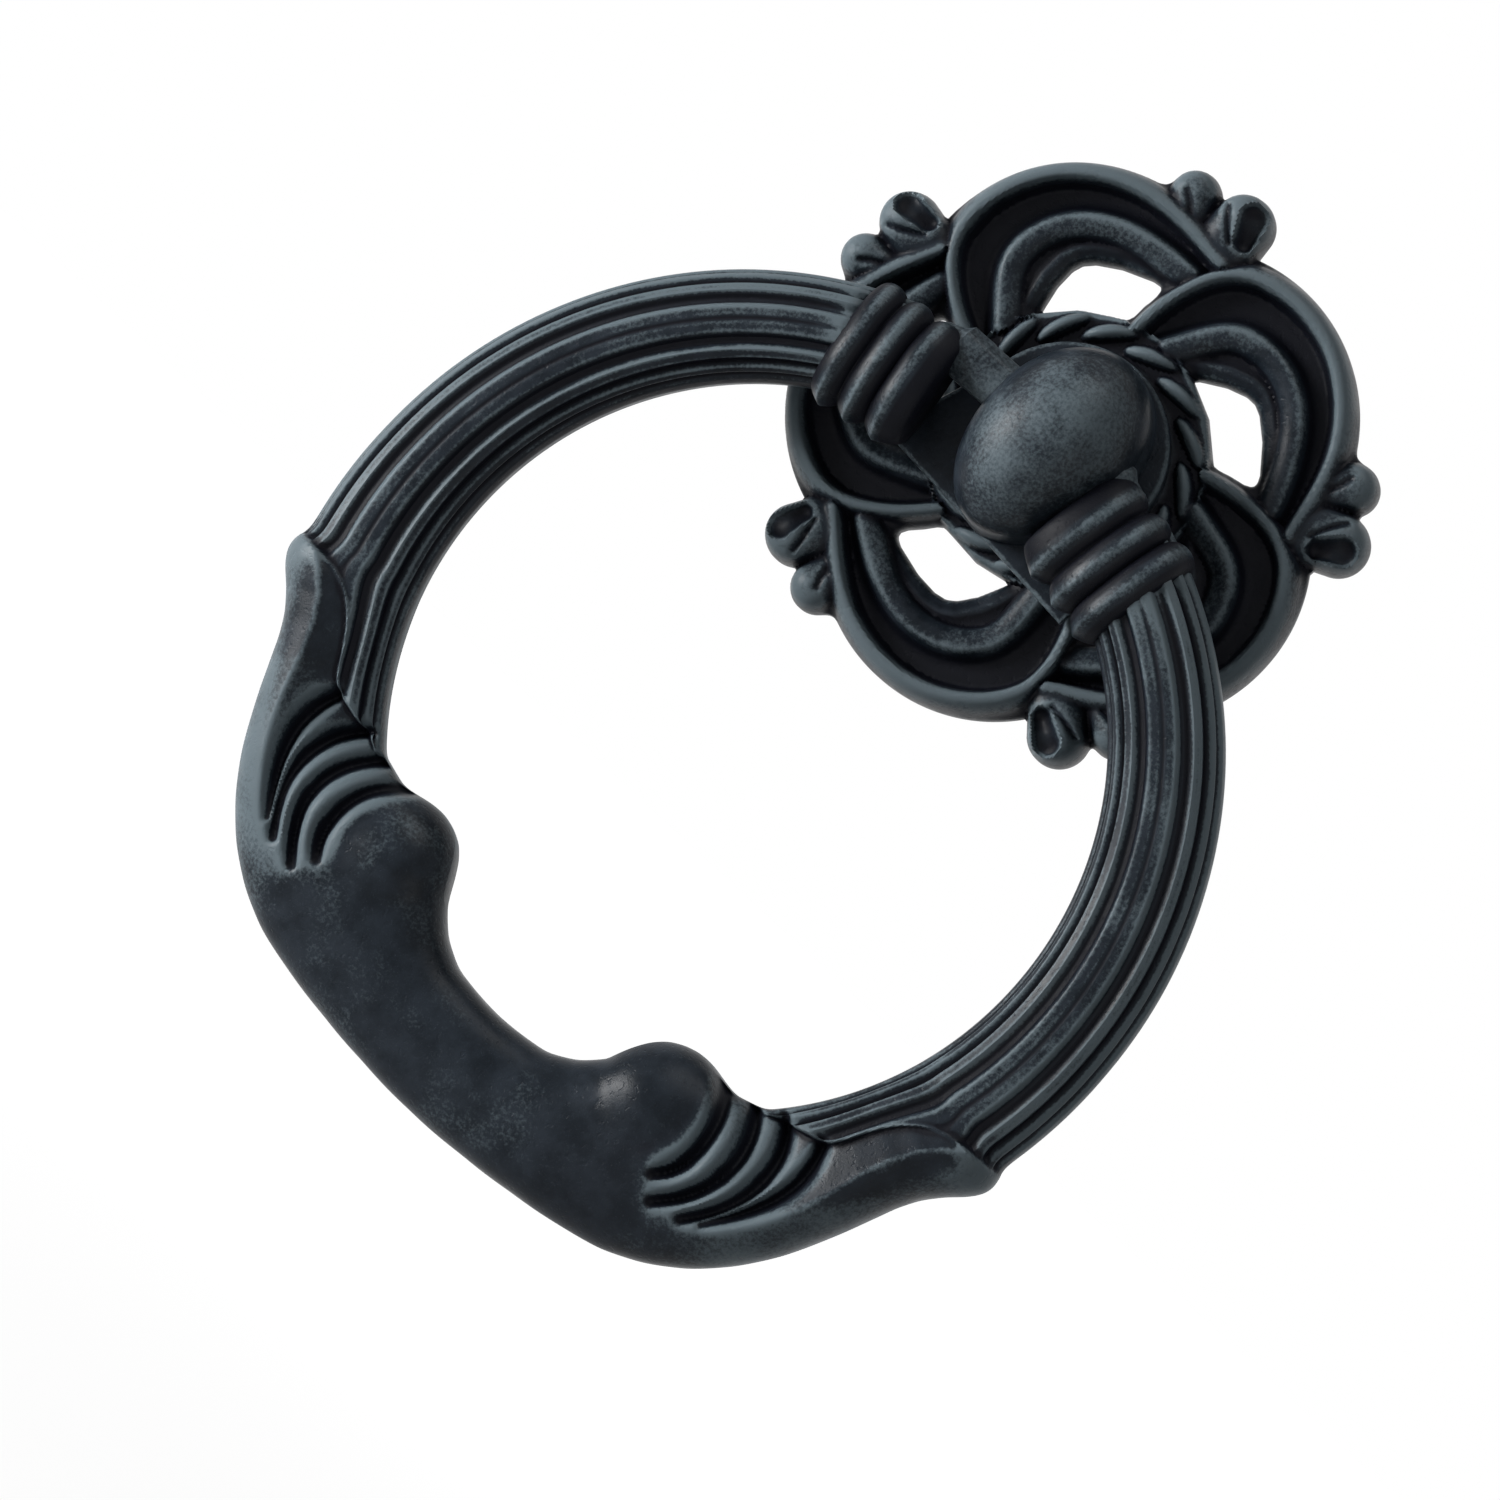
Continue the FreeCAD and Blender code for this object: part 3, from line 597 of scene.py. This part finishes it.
def dome_mesh(name, sizes):
    """The smooth egg with upright walls and a crowned front."""
    columns = 160
    turn = np.linspace(0, 2 * math.pi, columns, endpoint=False)
    spring, rise = sizes.dome_spring / MM, sizes.dome_rise / MM
    levels = [(1.02, 4.0), (1.004, 4.25), (1.0, 4.6)] + [(1.0, h) for h in np.linspace(4.9, spring, 12)]
    for step in np.linspace(0, math.pi / 2, 60)[1:-1]:
        levels.append((math.cos(step) ** 0.94, spring + rise * math.sin(step) ** 1.06))
    rows = []
    for size, height in levels:
        x, z = egg(turn, size, sizes)
        rows.append(np.stack([x, np.full(columns, -height), z], 1))
    points = np.array(rows).reshape(-1, 3)
    top = np.array([[0.0, -spring - rise, sizes.dome_widest / MM]])
    points = turned(np.vstack([points, top]), BOSS_TURN)
    piece = make_mesh(name, points, skin_faces(len(levels), columns, tip=True))
    bore = trunnion_bore()
    cut = piece.modifiers.new("bore", "BOOLEAN")
    cut.operation, cut.object, cut.solver = "DIFFERENCE", bore, "EXACT"
    graph = bpy.context.evaluated_depsgraph_get()
    shape = bpy.data.meshes.new_from_object(piece.evaluated_get(graph))
    piece.modifiers.clear()
    piece.data = shape
    bpy.data.objects.remove(bore)
    shape.shade_smooth()
    shape.set_sharp_from_angle(angle=math.radians(40.0))
    return piece


def trunnion_bore():
    """The round hole across the dome, as a solid to cut with."""
    columns, reach, radius = 64, 8.0, 2.0
    turn = np.linspace(0, 2 * math.pi, columns, endpoint=False)
    y, z = -RING_PLACE[2] - radius * np.cos(turn), radius * np.sin(turn)
    rows = [np.stack([np.full(columns, x), y, z], 1) for x in (-reach, reach)]
    return make_mesh("bore", np.array(rows).reshape(-1, 3), skin_faces(2, columns))


def plate_mesh(name, outline, levels):
    """A flat plate: an outline drawn in at the given (inset, height) levels and closed at both ends."""
    outline = np.array(outline, float)
    ahead = np.roll(outline, -1, 0) - outline
    ahead /= np.linalg.norm(ahead, axis=1)[:, None]
    tangent = ahead + np.roll(ahead, 1, 0)
    tangent /= np.linalg.norm(tangent, axis=1)[:, None]
    inward = np.stack([-tangent[:, 1], tangent[:, 0]], 1)
    rows = []
    for inset, height in levels:
        place = outline + inward * inset
        rows.append(np.stack([place[:, 0], np.full(len(place), -height), place[:, 1]], 1))
    points = turned(np.array(rows).reshape(-1, 3), BOSS_TURN)
    return make_mesh(name, points, skin_faces(len(levels), len(outline)), 35.0)


def saddle_outline(sizes):
    """The flange's round top running into the apron's straight lower edge."""
    radius = sizes.flange_radius / MM
    half, low = sizes.apron_half_width / MM, -sizes.apron_drop / MM
    turns = [math.radians(step) for step in range(0, 181, 4)]
    points = [(radius * math.cos(turn), radius * math.sin(turn)) for turn in turns]
    points += [(-half, low + 1.5), (-half, low), (half, low), (half, low + 1.5)]
    line = np.array(points + points[:1])
    corners = [line[0]]
    for start, stop in zip(line, line[1:]):
        steps = max(1, int(np.linalg.norm(stop - start) / 0.5))
        corners += [start + (stop - start) * (k + 1) / steps for k in range(steps)]
    return np.array(corners[:-1])


def shank_mesh(name):
    """The riveted back end of the boss with its tapped hole."""
    columns = 64
    turn = np.linspace(0, 2 * math.pi, columns, endpoint=False)
    pitch, core, thread = 0.7, 1.68, 0.27
    rings = [(2.7, 2.3), (3.5, 0.9), (3.5, 0.12), (3.38, 0.0), (2.1, 0.0)]
    for height in np.linspace(0.25, 5.3, 110):
        wave = np.abs((height / pitch + turn / (2 * math.pi)) % 1.0 - 0.5) * 2.0
        rings.append((core + thread * wave, height))
    rows = []
    for radius, height in rings:
        rows.append(np.stack([radius * np.cos(turn), np.full(columns, -height), radius * np.sin(turn)], 1))
    points = np.vstack([np.array(rows).reshape(-1, 3), [[0.0, -6.1, 0.0]]])
    return make_mesh(name, points, skin_faces(len(rows), columns, True, True), 30.0)


def calculate(tree, operation, first, second):
    """A maths node's result from two numbers or sockets."""
    node = tree.nodes.new("ShaderNodeMath")
    node.operation = operation
    for socket, value in zip(node.inputs, (first, second)):
        if isinstance(value, float):
            socket.default_value = value
        else:
            tree.links.new(value, socket)
    return node.outputs[0]


def ramp(tree, source, stops, kind="SMOOTHSTEP"):
    """A socket's value moved from one range, low and high, to another."""
    node = tree.nodes.new("ShaderNodeMapRange")
    node.interpolation_type = kind
    for socket, value in zip(("From Min", "From Max", "To Min", "To Max"), stops):
        node.inputs[socket].default_value = value
    tree.links.new(source, node.inputs["Value"])
    return node.outputs["Result"]


def coat_material(name, look):
    """Satin blue-black coat: mottled, finely pitted, greyer and rougher where the crests show wear and where a sheen
    is painted, and darker and rougher with painted shade in the hollows.
    """
    material = bpy.data.materials.new(name)
    material.use_nodes = True
    tree = material.node_tree
    nodes, links = tree.nodes, tree.links
    nodes.clear()
    output = nodes.new("ShaderNodeOutputMaterial")
    shader = nodes.new("ShaderNodeBsdfPrincipled")
    links.new(shader.outputs["BSDF"], output.inputs["Surface"])
    shader.inputs["Metallic"].default_value = 0.0
    shader.inputs["IOR"].default_value = 1.5
    shader.inputs["Specular IOR Level"].default_value = look.specular
    place = nodes.new("ShaderNodeTexCoord")
    proud = nodes.new("ShaderNodeAttribute")
    proud.attribute_name = "proud"

    def noise(scale, detail, rough):
        node = nodes.new("ShaderNodeTexNoise")
        node.inputs["Scale"].default_value = scale
        node.inputs["Detail"].default_value = detail
        node.inputs["Roughness"].default_value = rough
        links.new(place.outputs["Object"], node.inputs["Vector"])
        return node.outputs["Fac"]

    def mix(share, first, second):
        node = nodes.new("ShaderNodeMix")
        node.data_type = "RGBA"
        links.new(share, node.inputs["Factor"])
        for socket, value in ((6, first), (7, second)):
            if isinstance(value, bpy.types.NodeSocket):
                links.new(value, node.inputs[socket])
            else:
                node.inputs[socket].default_value = (*value, 1.0)
        return node.outputs[2]

    cloud = noise(420.0, 4.0, 0.6)
    grain = noise(3800.0, 3.0, 0.65)
    speck = noise(9000.0, 2.0, 0.5)
    pits = ramp(tree, noise(2600.0, 2.0, 0.5), (0.30, 0.42, 1.0, 0.0))
    patch = noise(230.0, 3.0, 0.55)
    # Lighter grey where the stored attribute is high: real wear on crests, and also a painted sheen and painted light
    # laid on the ring.
    worn_and_sheen = calculate(tree, "ADD", proud.outputs["Fac"], ramp(tree, patch, (0.35, 0.65, -0.15, 0.15)))
    worn_and_sheen = calculate(tree, "ADD", worn_and_sheen, ramp(tree, grain, (0.3, 0.7, -0.16, 0.16)))
    worn_and_sheen = ramp(tree, worn_and_sheen, (0.14, 0.85, 0.0, 1.0))
    # Painted shade: where the stored attribute is low, in hollows, channels and between beads, the coat darkens to the
    # shade colour.
    painted_shade = ramp(tree, proud.outputs["Fac"], (-0.45, 0.12, 1.0, 0.0))
    base = mix(ramp(tree, cloud, (0.3, 0.7, 0.0, 1.0)), look.coat_dark, look.coat)
    specks = calculate(tree, "MULTIPLY", ramp(tree, speck, (0.62, 0.78, 0.0, 1.0)), 0.35)
    for share, colour in ((specks, look.speck), (worn_and_sheen, look.worn_and_sheen), (painted_shade, look.painted_shade)):
        base = mix(share, base, colour)
    links.new(base, shader.inputs["Base Color"])
    rough = ramp(tree, cloud, (0.3, 0.7, look.roughness - 0.05, look.roughness + 0.05))
    for share, amount in ((worn_and_sheen, 0.08), (painted_shade, 0.2)):
        rough = calculate(tree, "ADD", rough, calculate(tree, "MULTIPLY", share, amount))
    links.new(rough, shader.inputs["Roughness"])
    relief = calculate(tree, "MULTIPLY", grain, 0.5)
    for share, amount in ((speck, 0.25), (pits, -0.5), (cloud, 1.2)):
        relief = calculate(tree, "ADD", relief, calculate(tree, "MULTIPLY", share, amount))
    bump = nodes.new("ShaderNodeBump")
    bump.inputs["Strength"].default_value = look.grain_strength
    bump.inputs["Distance"].default_value = look.grain_depth
    links.new(relief, bump.inputs["Height"])
    links.new(bump.outputs["Normal"], shader.inputs["Normal"])
    return material


def length(name, description, default_mm, low=0.0, high=50.0):
    """A length in metres, stated in millimetres."""
    return bpy.props.FloatProperty(
        name=name, description=description, default=default_mm * MM, min=low * MM, max=high * MM,
        subtype="DISTANCE", unit="LENGTH", precision=5,
    )


def tint(name, description, default):
    """A colour."""
    return bpy.props.FloatVectorProperty(
        name=name, description=description, default=default, size=3, min=0.0, max=1.0, subtype="COLOR",
    )


def angle(name, description, degrees):
    """An angle, stated in degrees."""
    return bpy.props.FloatProperty(
        name=name, description=description, default=math.radians(degrees), subtype="ANGLE", unit="ROTATION",
    )


def number(name, description, default, low=0.0, high=1.0):
    """A plain share or factor."""
    return bpy.props.FloatProperty(name=name, description=description, default=default, min=low, max=high)


class RosetteSizes(bpy.types.PropertyGroup):
    """Sizes of the openwork backplate."""

    grid: length("Grid", "Spacing of the relief's points", 0.16, 0.05, 2.0)
    channel_height: length("Channel", "Height of the channels' floor", 1.3)
    rim_height: length("Rim", "Height of the petals' rims", 3.4)
    ridge_height: length("Ridge", "Height of the petals' inner ridges", 2.75)
    rope_radius: length("Rope", "Radius of the rope moulding", 8.55)
    strands: bpy.props.IntProperty(
        name="Strands", description="Strands in the rope", default=16, min=4, max=40,
    )
    strand_slant: angle("Slant", "Slant of a strand from the rope's line", 21.0)


class BossSizes(bpy.types.PropertyGroup):
    """Sizes of the domed boss."""

    dome_half_width: length("Half width", "Half the dome's width", 5.38)
    dome_top: length("Top", "Dome's upper end above the pivot", 6.88)
    dome_bottom: length("Bottom", "Dome's lower end", -8.28, -30.0)
    dome_widest: length("Widest", "Where the dome is widest", 0.0, -20.0)
    dome_spring: length("Spring", "Height at which the dome starts to round over", 7.6)
    dome_rise: length("Rise", "Rise of the rounded front", 5.75)
    flange_radius: length("Flange", "Radius of the flange", 7.2)
    apron_half_width: length("Apron", "Half the apron's width", 8.98)
    apron_drop: length("Drop", "How far the apron's edge lies below the pivot", 8.38)


class RingSizes(bpy.types.PropertyGroup):
    """Sizes of the swinging ring."""

    ring_back: length("Back", "Depth of the ring behind its middle plane", 3.08)
    bar_front: length("Bar front", "How far the reeded bar stands forward", 3.35)
    knob_front: length("Knob", "How far the knobs stand forward", 4.45)
    groove_depth: length("Grooves", "Depth of the grooves on the scrolls", 1.25)
    reed_share: number("Reeds", "Depth of the reeds, as a share", 1.0, 0.0, 2.0)
    collar_pitch: length("Bead pitch", "Distance between a collar's beads", 2.35)
    collar_length: length("Bead length", "Half the length of a bead", 4.88)
    collar_depth: length("Bead depth", "Half the depth of a bead", 3.55)
    trunnion_radius: length("Trunnion", "Radius of a trunnion's corners", 1.9)


class CoatLook(bpy.types.PropertyGroup):
    """Colours and gloss of the coat."""

    coat: tint("Coat", "Main colour", (0.015, 0.020, 0.027))
    coat_dark: tint("Dark coat", "Colour of the darker clouds", (0.006, 0.009, 0.013))
    # Also the colour of the painted sheen and painted light on the ring.
    worn_and_sheen: tint("Worn", "Colour of the worn crests", (0.090, 0.115, 0.130))
    # Painted shade, laid in hollows, channels and between beads.
    painted_shade: tint("Hollow", "Colour in the hollows", (0.0025, 0.003, 0.0055))
    speck: tint("Speck", "Colour of fine specks", (0.05, 0.06, 0.07))
    roughness: number("Roughness", "Roughness of the coat", 0.34)
    specular: number("Specular", "Strength of the coat's gloss", 0.10)
    grain_strength: number("Grain", "Strength of the fine grain", 0.5)
    grain_depth: length("Grain depth", "Depth of the fine grain", 0.05, 0.0, 1.0)


class StageLook(bpy.types.PropertyGroup):
    """Camera, floor and lamps."""

    target: bpy.props.FloatVectorProperty(
        name="Target", description="Where the camera looks", default=(-0.00175, -0.005, -0.02977),
        size=3, subtype="XYZ", unit="LENGTH",
    )
    distance: length("Distance", "Distance of the camera", 400.0, 10.0, 5000.0)
    azimuth: angle("Azimuth", "Camera's turn to the right", 10.6)
    elevation: angle("Elevation", "Camera's height", 1.4)
    roll: angle("Roll", "Camera's roll", 42.24)
    lens: number("Lens", "Focal length in millimetres on a 36 mm sensor", 140.7, 10.0, 400.0)
    floor: tint("Floor", "Colour of the floor", (0.9, 0.9, 0.9))
    key_power: number("Key", "Power of the main lamp in watts", 7.2, 0.0, 500.0)
    fill_power: number("Fill", "Power of the other lamps in watts", 1.0, 0.0, 500.0)
    sky: number("Sky", "Strength of the plain light all round", 0.06, 0.0, 2.0)


def rosette_wear_and_shade(points, proud):
    """Wear on the rosette's face, none on its walls, and painted shade in its channels."""
    out = -points[:, 1]
    face = fade(out, 0.86, 1.2)
    # The low channels are darkened with painted shade; the high rims and ridges get a little more wear.
    return face * (proud - 0.7 * (1.0 - fade(out, 1.3, 2.4))) + 0.12 * fade(out, 2.4, 3.3)


def apron_wear(points, proud):
    """Wear on the apron's bevelled edge alone."""
    out = -points[:, 1]
    return 0.55 * fade(out, 3.7, 3.95) * (out < 4.085)


def ring_wear_and_light(points, proud):
    """Wear on the ring's front, none at the bottom, with painted light and shade set by region and a painted sheen on
    its leaves' outer flanks.
    """
    x, z = points[:, 0] - RING_PLACE[0], points[:, 2] - RING_PLACE[1]
    offset, radius = np.degrees(np.arctan2(np.abs(x), z)), np.hypot(x, z)
    # Where the painted sheen falls: the leaves' outer flanks, towards the front.
    flank_sheen = fade(offset, 104.0, 107.0) * (1.0 - fade(offset, 138.0, 152.0)) * fade(radius, 31.2, 32.8)
    front = fade(-points[:, 1], 5.5, 7.5)
    right, low = fade(points[:, 0], 2.0, 12.0), fade(offset, 100.0, 112.0)
    # Painted light and shade by region: lighter on the right bar and the left scroll, darker on the left bar, darkest
    # on the right scroll.
    plain = 0.12 - 0.1 * (1.0 - right) * (1.0 - low) - 0.17 * right * low
    # Wear on the front, none at the bottom, plus the painted light and the painted sheen.
    return proud * front * (1.0 - fade(offset, 146.0, 154.0)) + plain + 0.5 * flank_sheen * front


class PULL_OT_rosette(bpy.types.Operator):
    """Make the openwork rosette"""

    bl_idname = "pull.rosette"
    bl_label = "Rosette"

    def execute(self, context):
        scene = context.scene
        piece = relief_mesh("rosette_relief", scene.rosette_sizes)
        note_wear_and_shade(piece, 0.2, rosette_wear_and_shade)
        material = coat_material("rosette_coat", scene.coat_look)
        finish_piece(piece, "mounted", material, ("rosette",))
        return {"FINISHED"}


class PULL_OT_boss(bpy.types.Operator):
    """Make the domed boss with its flange, apron and tapped shank"""

    bl_idname = "pull.boss"
    bl_label = "Boss"

    def execute(self, context):
        scene = context.scene
        sizes = scene.boss_sizes
        material = coat_material("boss_coat", scene.coat_look)
        turn = np.linspace(0, 2 * math.pi, 120, endpoint=False)
        circle = np.stack([np.cos(turn), np.sin(turn)], 1) * sizes.flange_radius / MM
        bevel = [(0.0, 3.47), (0.0, 3.92), (0.06, 4.04), (0.2, 4.08), (0.4, 4.09)]
        dome = dome_mesh("boss_dome", sizes)
        flange = plate_mesh("boss_flange", circle, [(0.0, 2.42), (0.0, 3.5)])
        apron = plate_mesh("boss_apron", saddle_outline(sizes), bevel)
        shank = shank_mesh("boss_shank")
        spring, rise = sizes.dome_spring / MM, sizes.dome_rise / MM

        def dome_wear(points, proud):
            out = -points[:, 1]
            return proud * (out > 4.2) + 0.5 * fade(out, spring + 0.3 * rise, spring + rise)

        for piece in (dome, flange, apron, shank):
            note_wear_and_shade(piece, 0.3, apron_wear if piece == apron else dome_wear)
            finish_piece(piece, "mounted", material)
        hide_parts("boss")
        return {"FINISHED"}


class PULL_OT_ring(bpy.types.Operator):
    """Make the reeded ring with its leaves and scrolls"""

    bl_idname = "pull.ring"
    bl_label = "Ring"

    def execute(self, context):
        scene = context.scene
        piece = ring_mesh("ring_body", scene.ring_sizes)
        note_wear_and_shade(piece, 0.07, ring_wear_and_light)
        material = coat_material("ring_coat", scene.coat_look)
        finish_piece(piece, "pull_ring", material, ("ring",))
        return {"FINISHED"}


class PULL_OT_collars(bpy.types.Operator):
    """Make the two beaded collars and the trunnions"""

    bl_idname = "pull.collars"
    bl_label = "Collars and trunnions"

    def execute(self, context):
        sizes = context.scene.ring_sizes
        material = bpy.data.objects["ring_body"].data.materials[0]
        for word, side in (("left", -1), ("right", 1)):
            collar = collar_mesh("collar_" + word, side, sizes)
            store_wear_and_light(collar, bead_wear_and_shade(mesh_points(collar.data), side, sizes))
            trunnion = trunnion_mesh("trunnion_" + word, side, sizes)
            store_wear_and_light(trunnion, np.full(len(trunnion.data.vertices), 0.5))
            for piece in (collar, trunnion):
                finish_piece(piece, "pull_ring", material)
        return {"FINISHED"}


def plain_white(name, colour):
    """A pale ground that keeps its shadow and reads as white to the camera."""
    material = bpy.data.materials.new(name)
    material.use_nodes = True
    tree = material.node_tree
    shader = tree.nodes["Principled BSDF"]
    shader.inputs["Base Color"].default_value = (*colour, 1.0)
    shader.inputs["Roughness"].default_value = 0.9
    shader.inputs["Specular IOR Level"].default_value = 0.0
    shader.inputs["Emission Color"].default_value = (1.0, 1.0, 1.0, 1.0)
    path = tree.nodes.new("ShaderNodeLightPath").outputs
    seen = calculate(tree, "MAXIMUM", path["Is Camera Ray"], path["Is Glossy Ray"])
    place = tree.nodes.new("ShaderNodeTexCoord")
    reach = tree.nodes.new("ShaderNodeVectorMath")
    reach.operation = "LENGTH"
    tree.links.new(place.outputs["Object"], reach.inputs[0])
    away = ramp(tree, reach.outputs["Value"], (0.25, 0.9, 0.72, 1.0), "LINEAR")
    tree.links.new(calculate(tree, "MULTIPLY", seen, away), shader.inputs["Emission Strength"])
    return material


def plain_floor(name, material):
    """A wide level square below the part."""
    reach, low = 3.0, -0.17
    corners = [(x * reach, y * reach, low) for x, y in ((-1, -1), (1, -1), (1, 1), (-1, 1))]
    mesh = bpy.data.meshes.new(name)
    mesh.from_pydata(corners, [], [(0, 1, 2, 3)])
    floor = bpy.data.objects.new(name, mesh)
    floor.data.materials.append(material)
    bpy.context.scene.collection.objects.link(floor)
    return floor


def plain_sky(name, strength):
    """A faint even light that the camera, gloss and glass see as white."""
    world = bpy.data.worlds.new(name)
    world.use_nodes = True
    tree = world.node_tree
    tree.nodes.clear()
    output = tree.nodes.new("ShaderNodeOutputWorld")
    path = tree.nodes.new("ShaderNodeLightPath").outputs
    seen = calculate(tree, "MAXIMUM", path["Is Camera Ray"], path["Is Glossy Ray"])
    seen = calculate(tree, "MAXIMUM", seen, path["Is Transmission Ray"])
    mix = tree.nodes.new("ShaderNodeMixShader")
    tree.links.new(seen, mix.inputs["Fac"])
    for socket, level in ((1, strength), (2, 1.0)):
        light = tree.nodes.new("ShaderNodeBackground")
        light.inputs["Color"].default_value = (1.0, 1.0, 1.0, 1.0)
        light.inputs["Strength"].default_value = level
        tree.links.new(light.outputs[0], mix.inputs[socket])
    tree.links.new(mix.outputs[0], output.inputs["Surface"])
    return world


def add_lamp(name, place, target, size, power):
    """A square soft lamp turned to a point."""
    lamp = bpy.data.lights.new(name, "AREA")
    lamp.shape = "RECTANGLE"
    lamp.size, lamp.size_y = size
    lamp.energy = power
    holder = bpy.data.objects.new(name, lamp)
    holder.location = place
    holder.rotation_mode = "QUATERNION"
    holder.rotation_quaternion = (Vector(target) - Vector(place)).to_track_quat("-Z", "Y")
    bpy.context.scene.collection.objects.link(holder)


def add_camera(scene, look):
    """The camera, turned about its target and rolled."""
    camera = bpy.data.cameras.new("camera")
    camera.lens = look.lens
    camera.sensor_width = 36.0
    camera.clip_start, camera.clip_end = 0.01, 20.0
    holder = bpy.data.objects.new("camera", camera)
    level = math.cos(look.elevation)
    back = Vector((math.sin(look.azimuth) * level, -math.cos(look.azimuth) * level, math.sin(look.elevation)))
    holder.location = Vector(look.target) + back * look.distance
    roll = Matrix.Rotation(look.roll, 4, "Z").to_quaternion()
    holder.rotation_mode = "QUATERNION"
    holder.rotation_quaternion = (-back).to_track_quat("-Z", "Y") @ roll
    scene.collection.objects.link(holder)
    scene.camera = holder


class PULL_OT_stage(bpy.types.Operator):
    """Make the floor, lamps, background and camera"""

    bl_idname = "pull.stage"
    bl_label = "Stage"

    def execute(self, context):
        scene = context.scene
        look = scene.stage_look
        scene.view_settings.view_transform = "Standard"
        floor = plain_floor("floor", plain_white("floor_white", look.floor))
        scene.world = plain_sky("plain_white", look.sky)

        centre = Vector((-0.0015, -0.005, -0.025))
        add_lamp("key", (-0.45, -0.23, -0.15), centre, (0.26, 0.26), look.key_power)
        add_lamp("top", (-0.05, -0.25, 0.50), centre, (0.35, 0.25), look.fill_power)
        add_lamp("side", (0.45, -0.35, -0.10), centre, (0.25, 0.25), look.fill_power * 0.3)

        add_camera(scene, look)
        return {"FINISHED"}


class PULL_PT_panel(bpy.types.Panel):
    """Lists the pieces and their sizes"""

    bl_idname = "PULL_PT_panel"
    bl_label = "Ring pull"
    bl_space_type = "VIEW_3D"
    bl_region_type = "UI"
    bl_category = "Ring pull"

    def draw(self, context):
        layout = self.layout
        scene = context.scene
        for operator, group in (
            ("pull.rosette", "rosette_sizes"), ("pull.boss", "boss_sizes"), ("pull.ring", "ring_sizes"),
            ("pull.collars", "coat_look"), ("pull.stage", "stage_look"),
        ):
            box = layout.box()
            box.operator(operator)
            settings = getattr(scene, group)
            for name in settings.__annotations__:
                box.prop(settings, name)


GROUPS = {
    "rosette_sizes": RosetteSizes,
    "boss_sizes": BossSizes,
    "ring_sizes": RingSizes,
    "coat_look": CoatLook,
    "stage_look": StageLook,
}
OPERATORS = (PULL_OT_rosette, PULL_OT_boss, PULL_OT_ring, PULL_OT_collars, PULL_OT_stage)
CLASSES = (*GROUPS.values(), *OPERATORS, PULL_PT_panel)


def register():
    """Make the classes and settings known to Blender."""
    for entry in CLASSES:
        bpy.utils.register_class(entry)
    for name, group in GROUPS.items():
        setattr(bpy.types.Scene, name, bpy.props.PointerProperty(type=group))


def unregister():
    """Take them away again."""
    for name in GROUPS:
        delattr(bpy.types.Scene, name)
    for entry in reversed(CLASSES):
        bpy.utils.unregister_class(entry)


def main():
    """Make the settings known and build every piece."""
    register()
    for make in ("rosette", "boss", "ring", "collars", "stage"):
        getattr(bpy.ops.pull, make)()


if __name__ == "__main__":
    main()
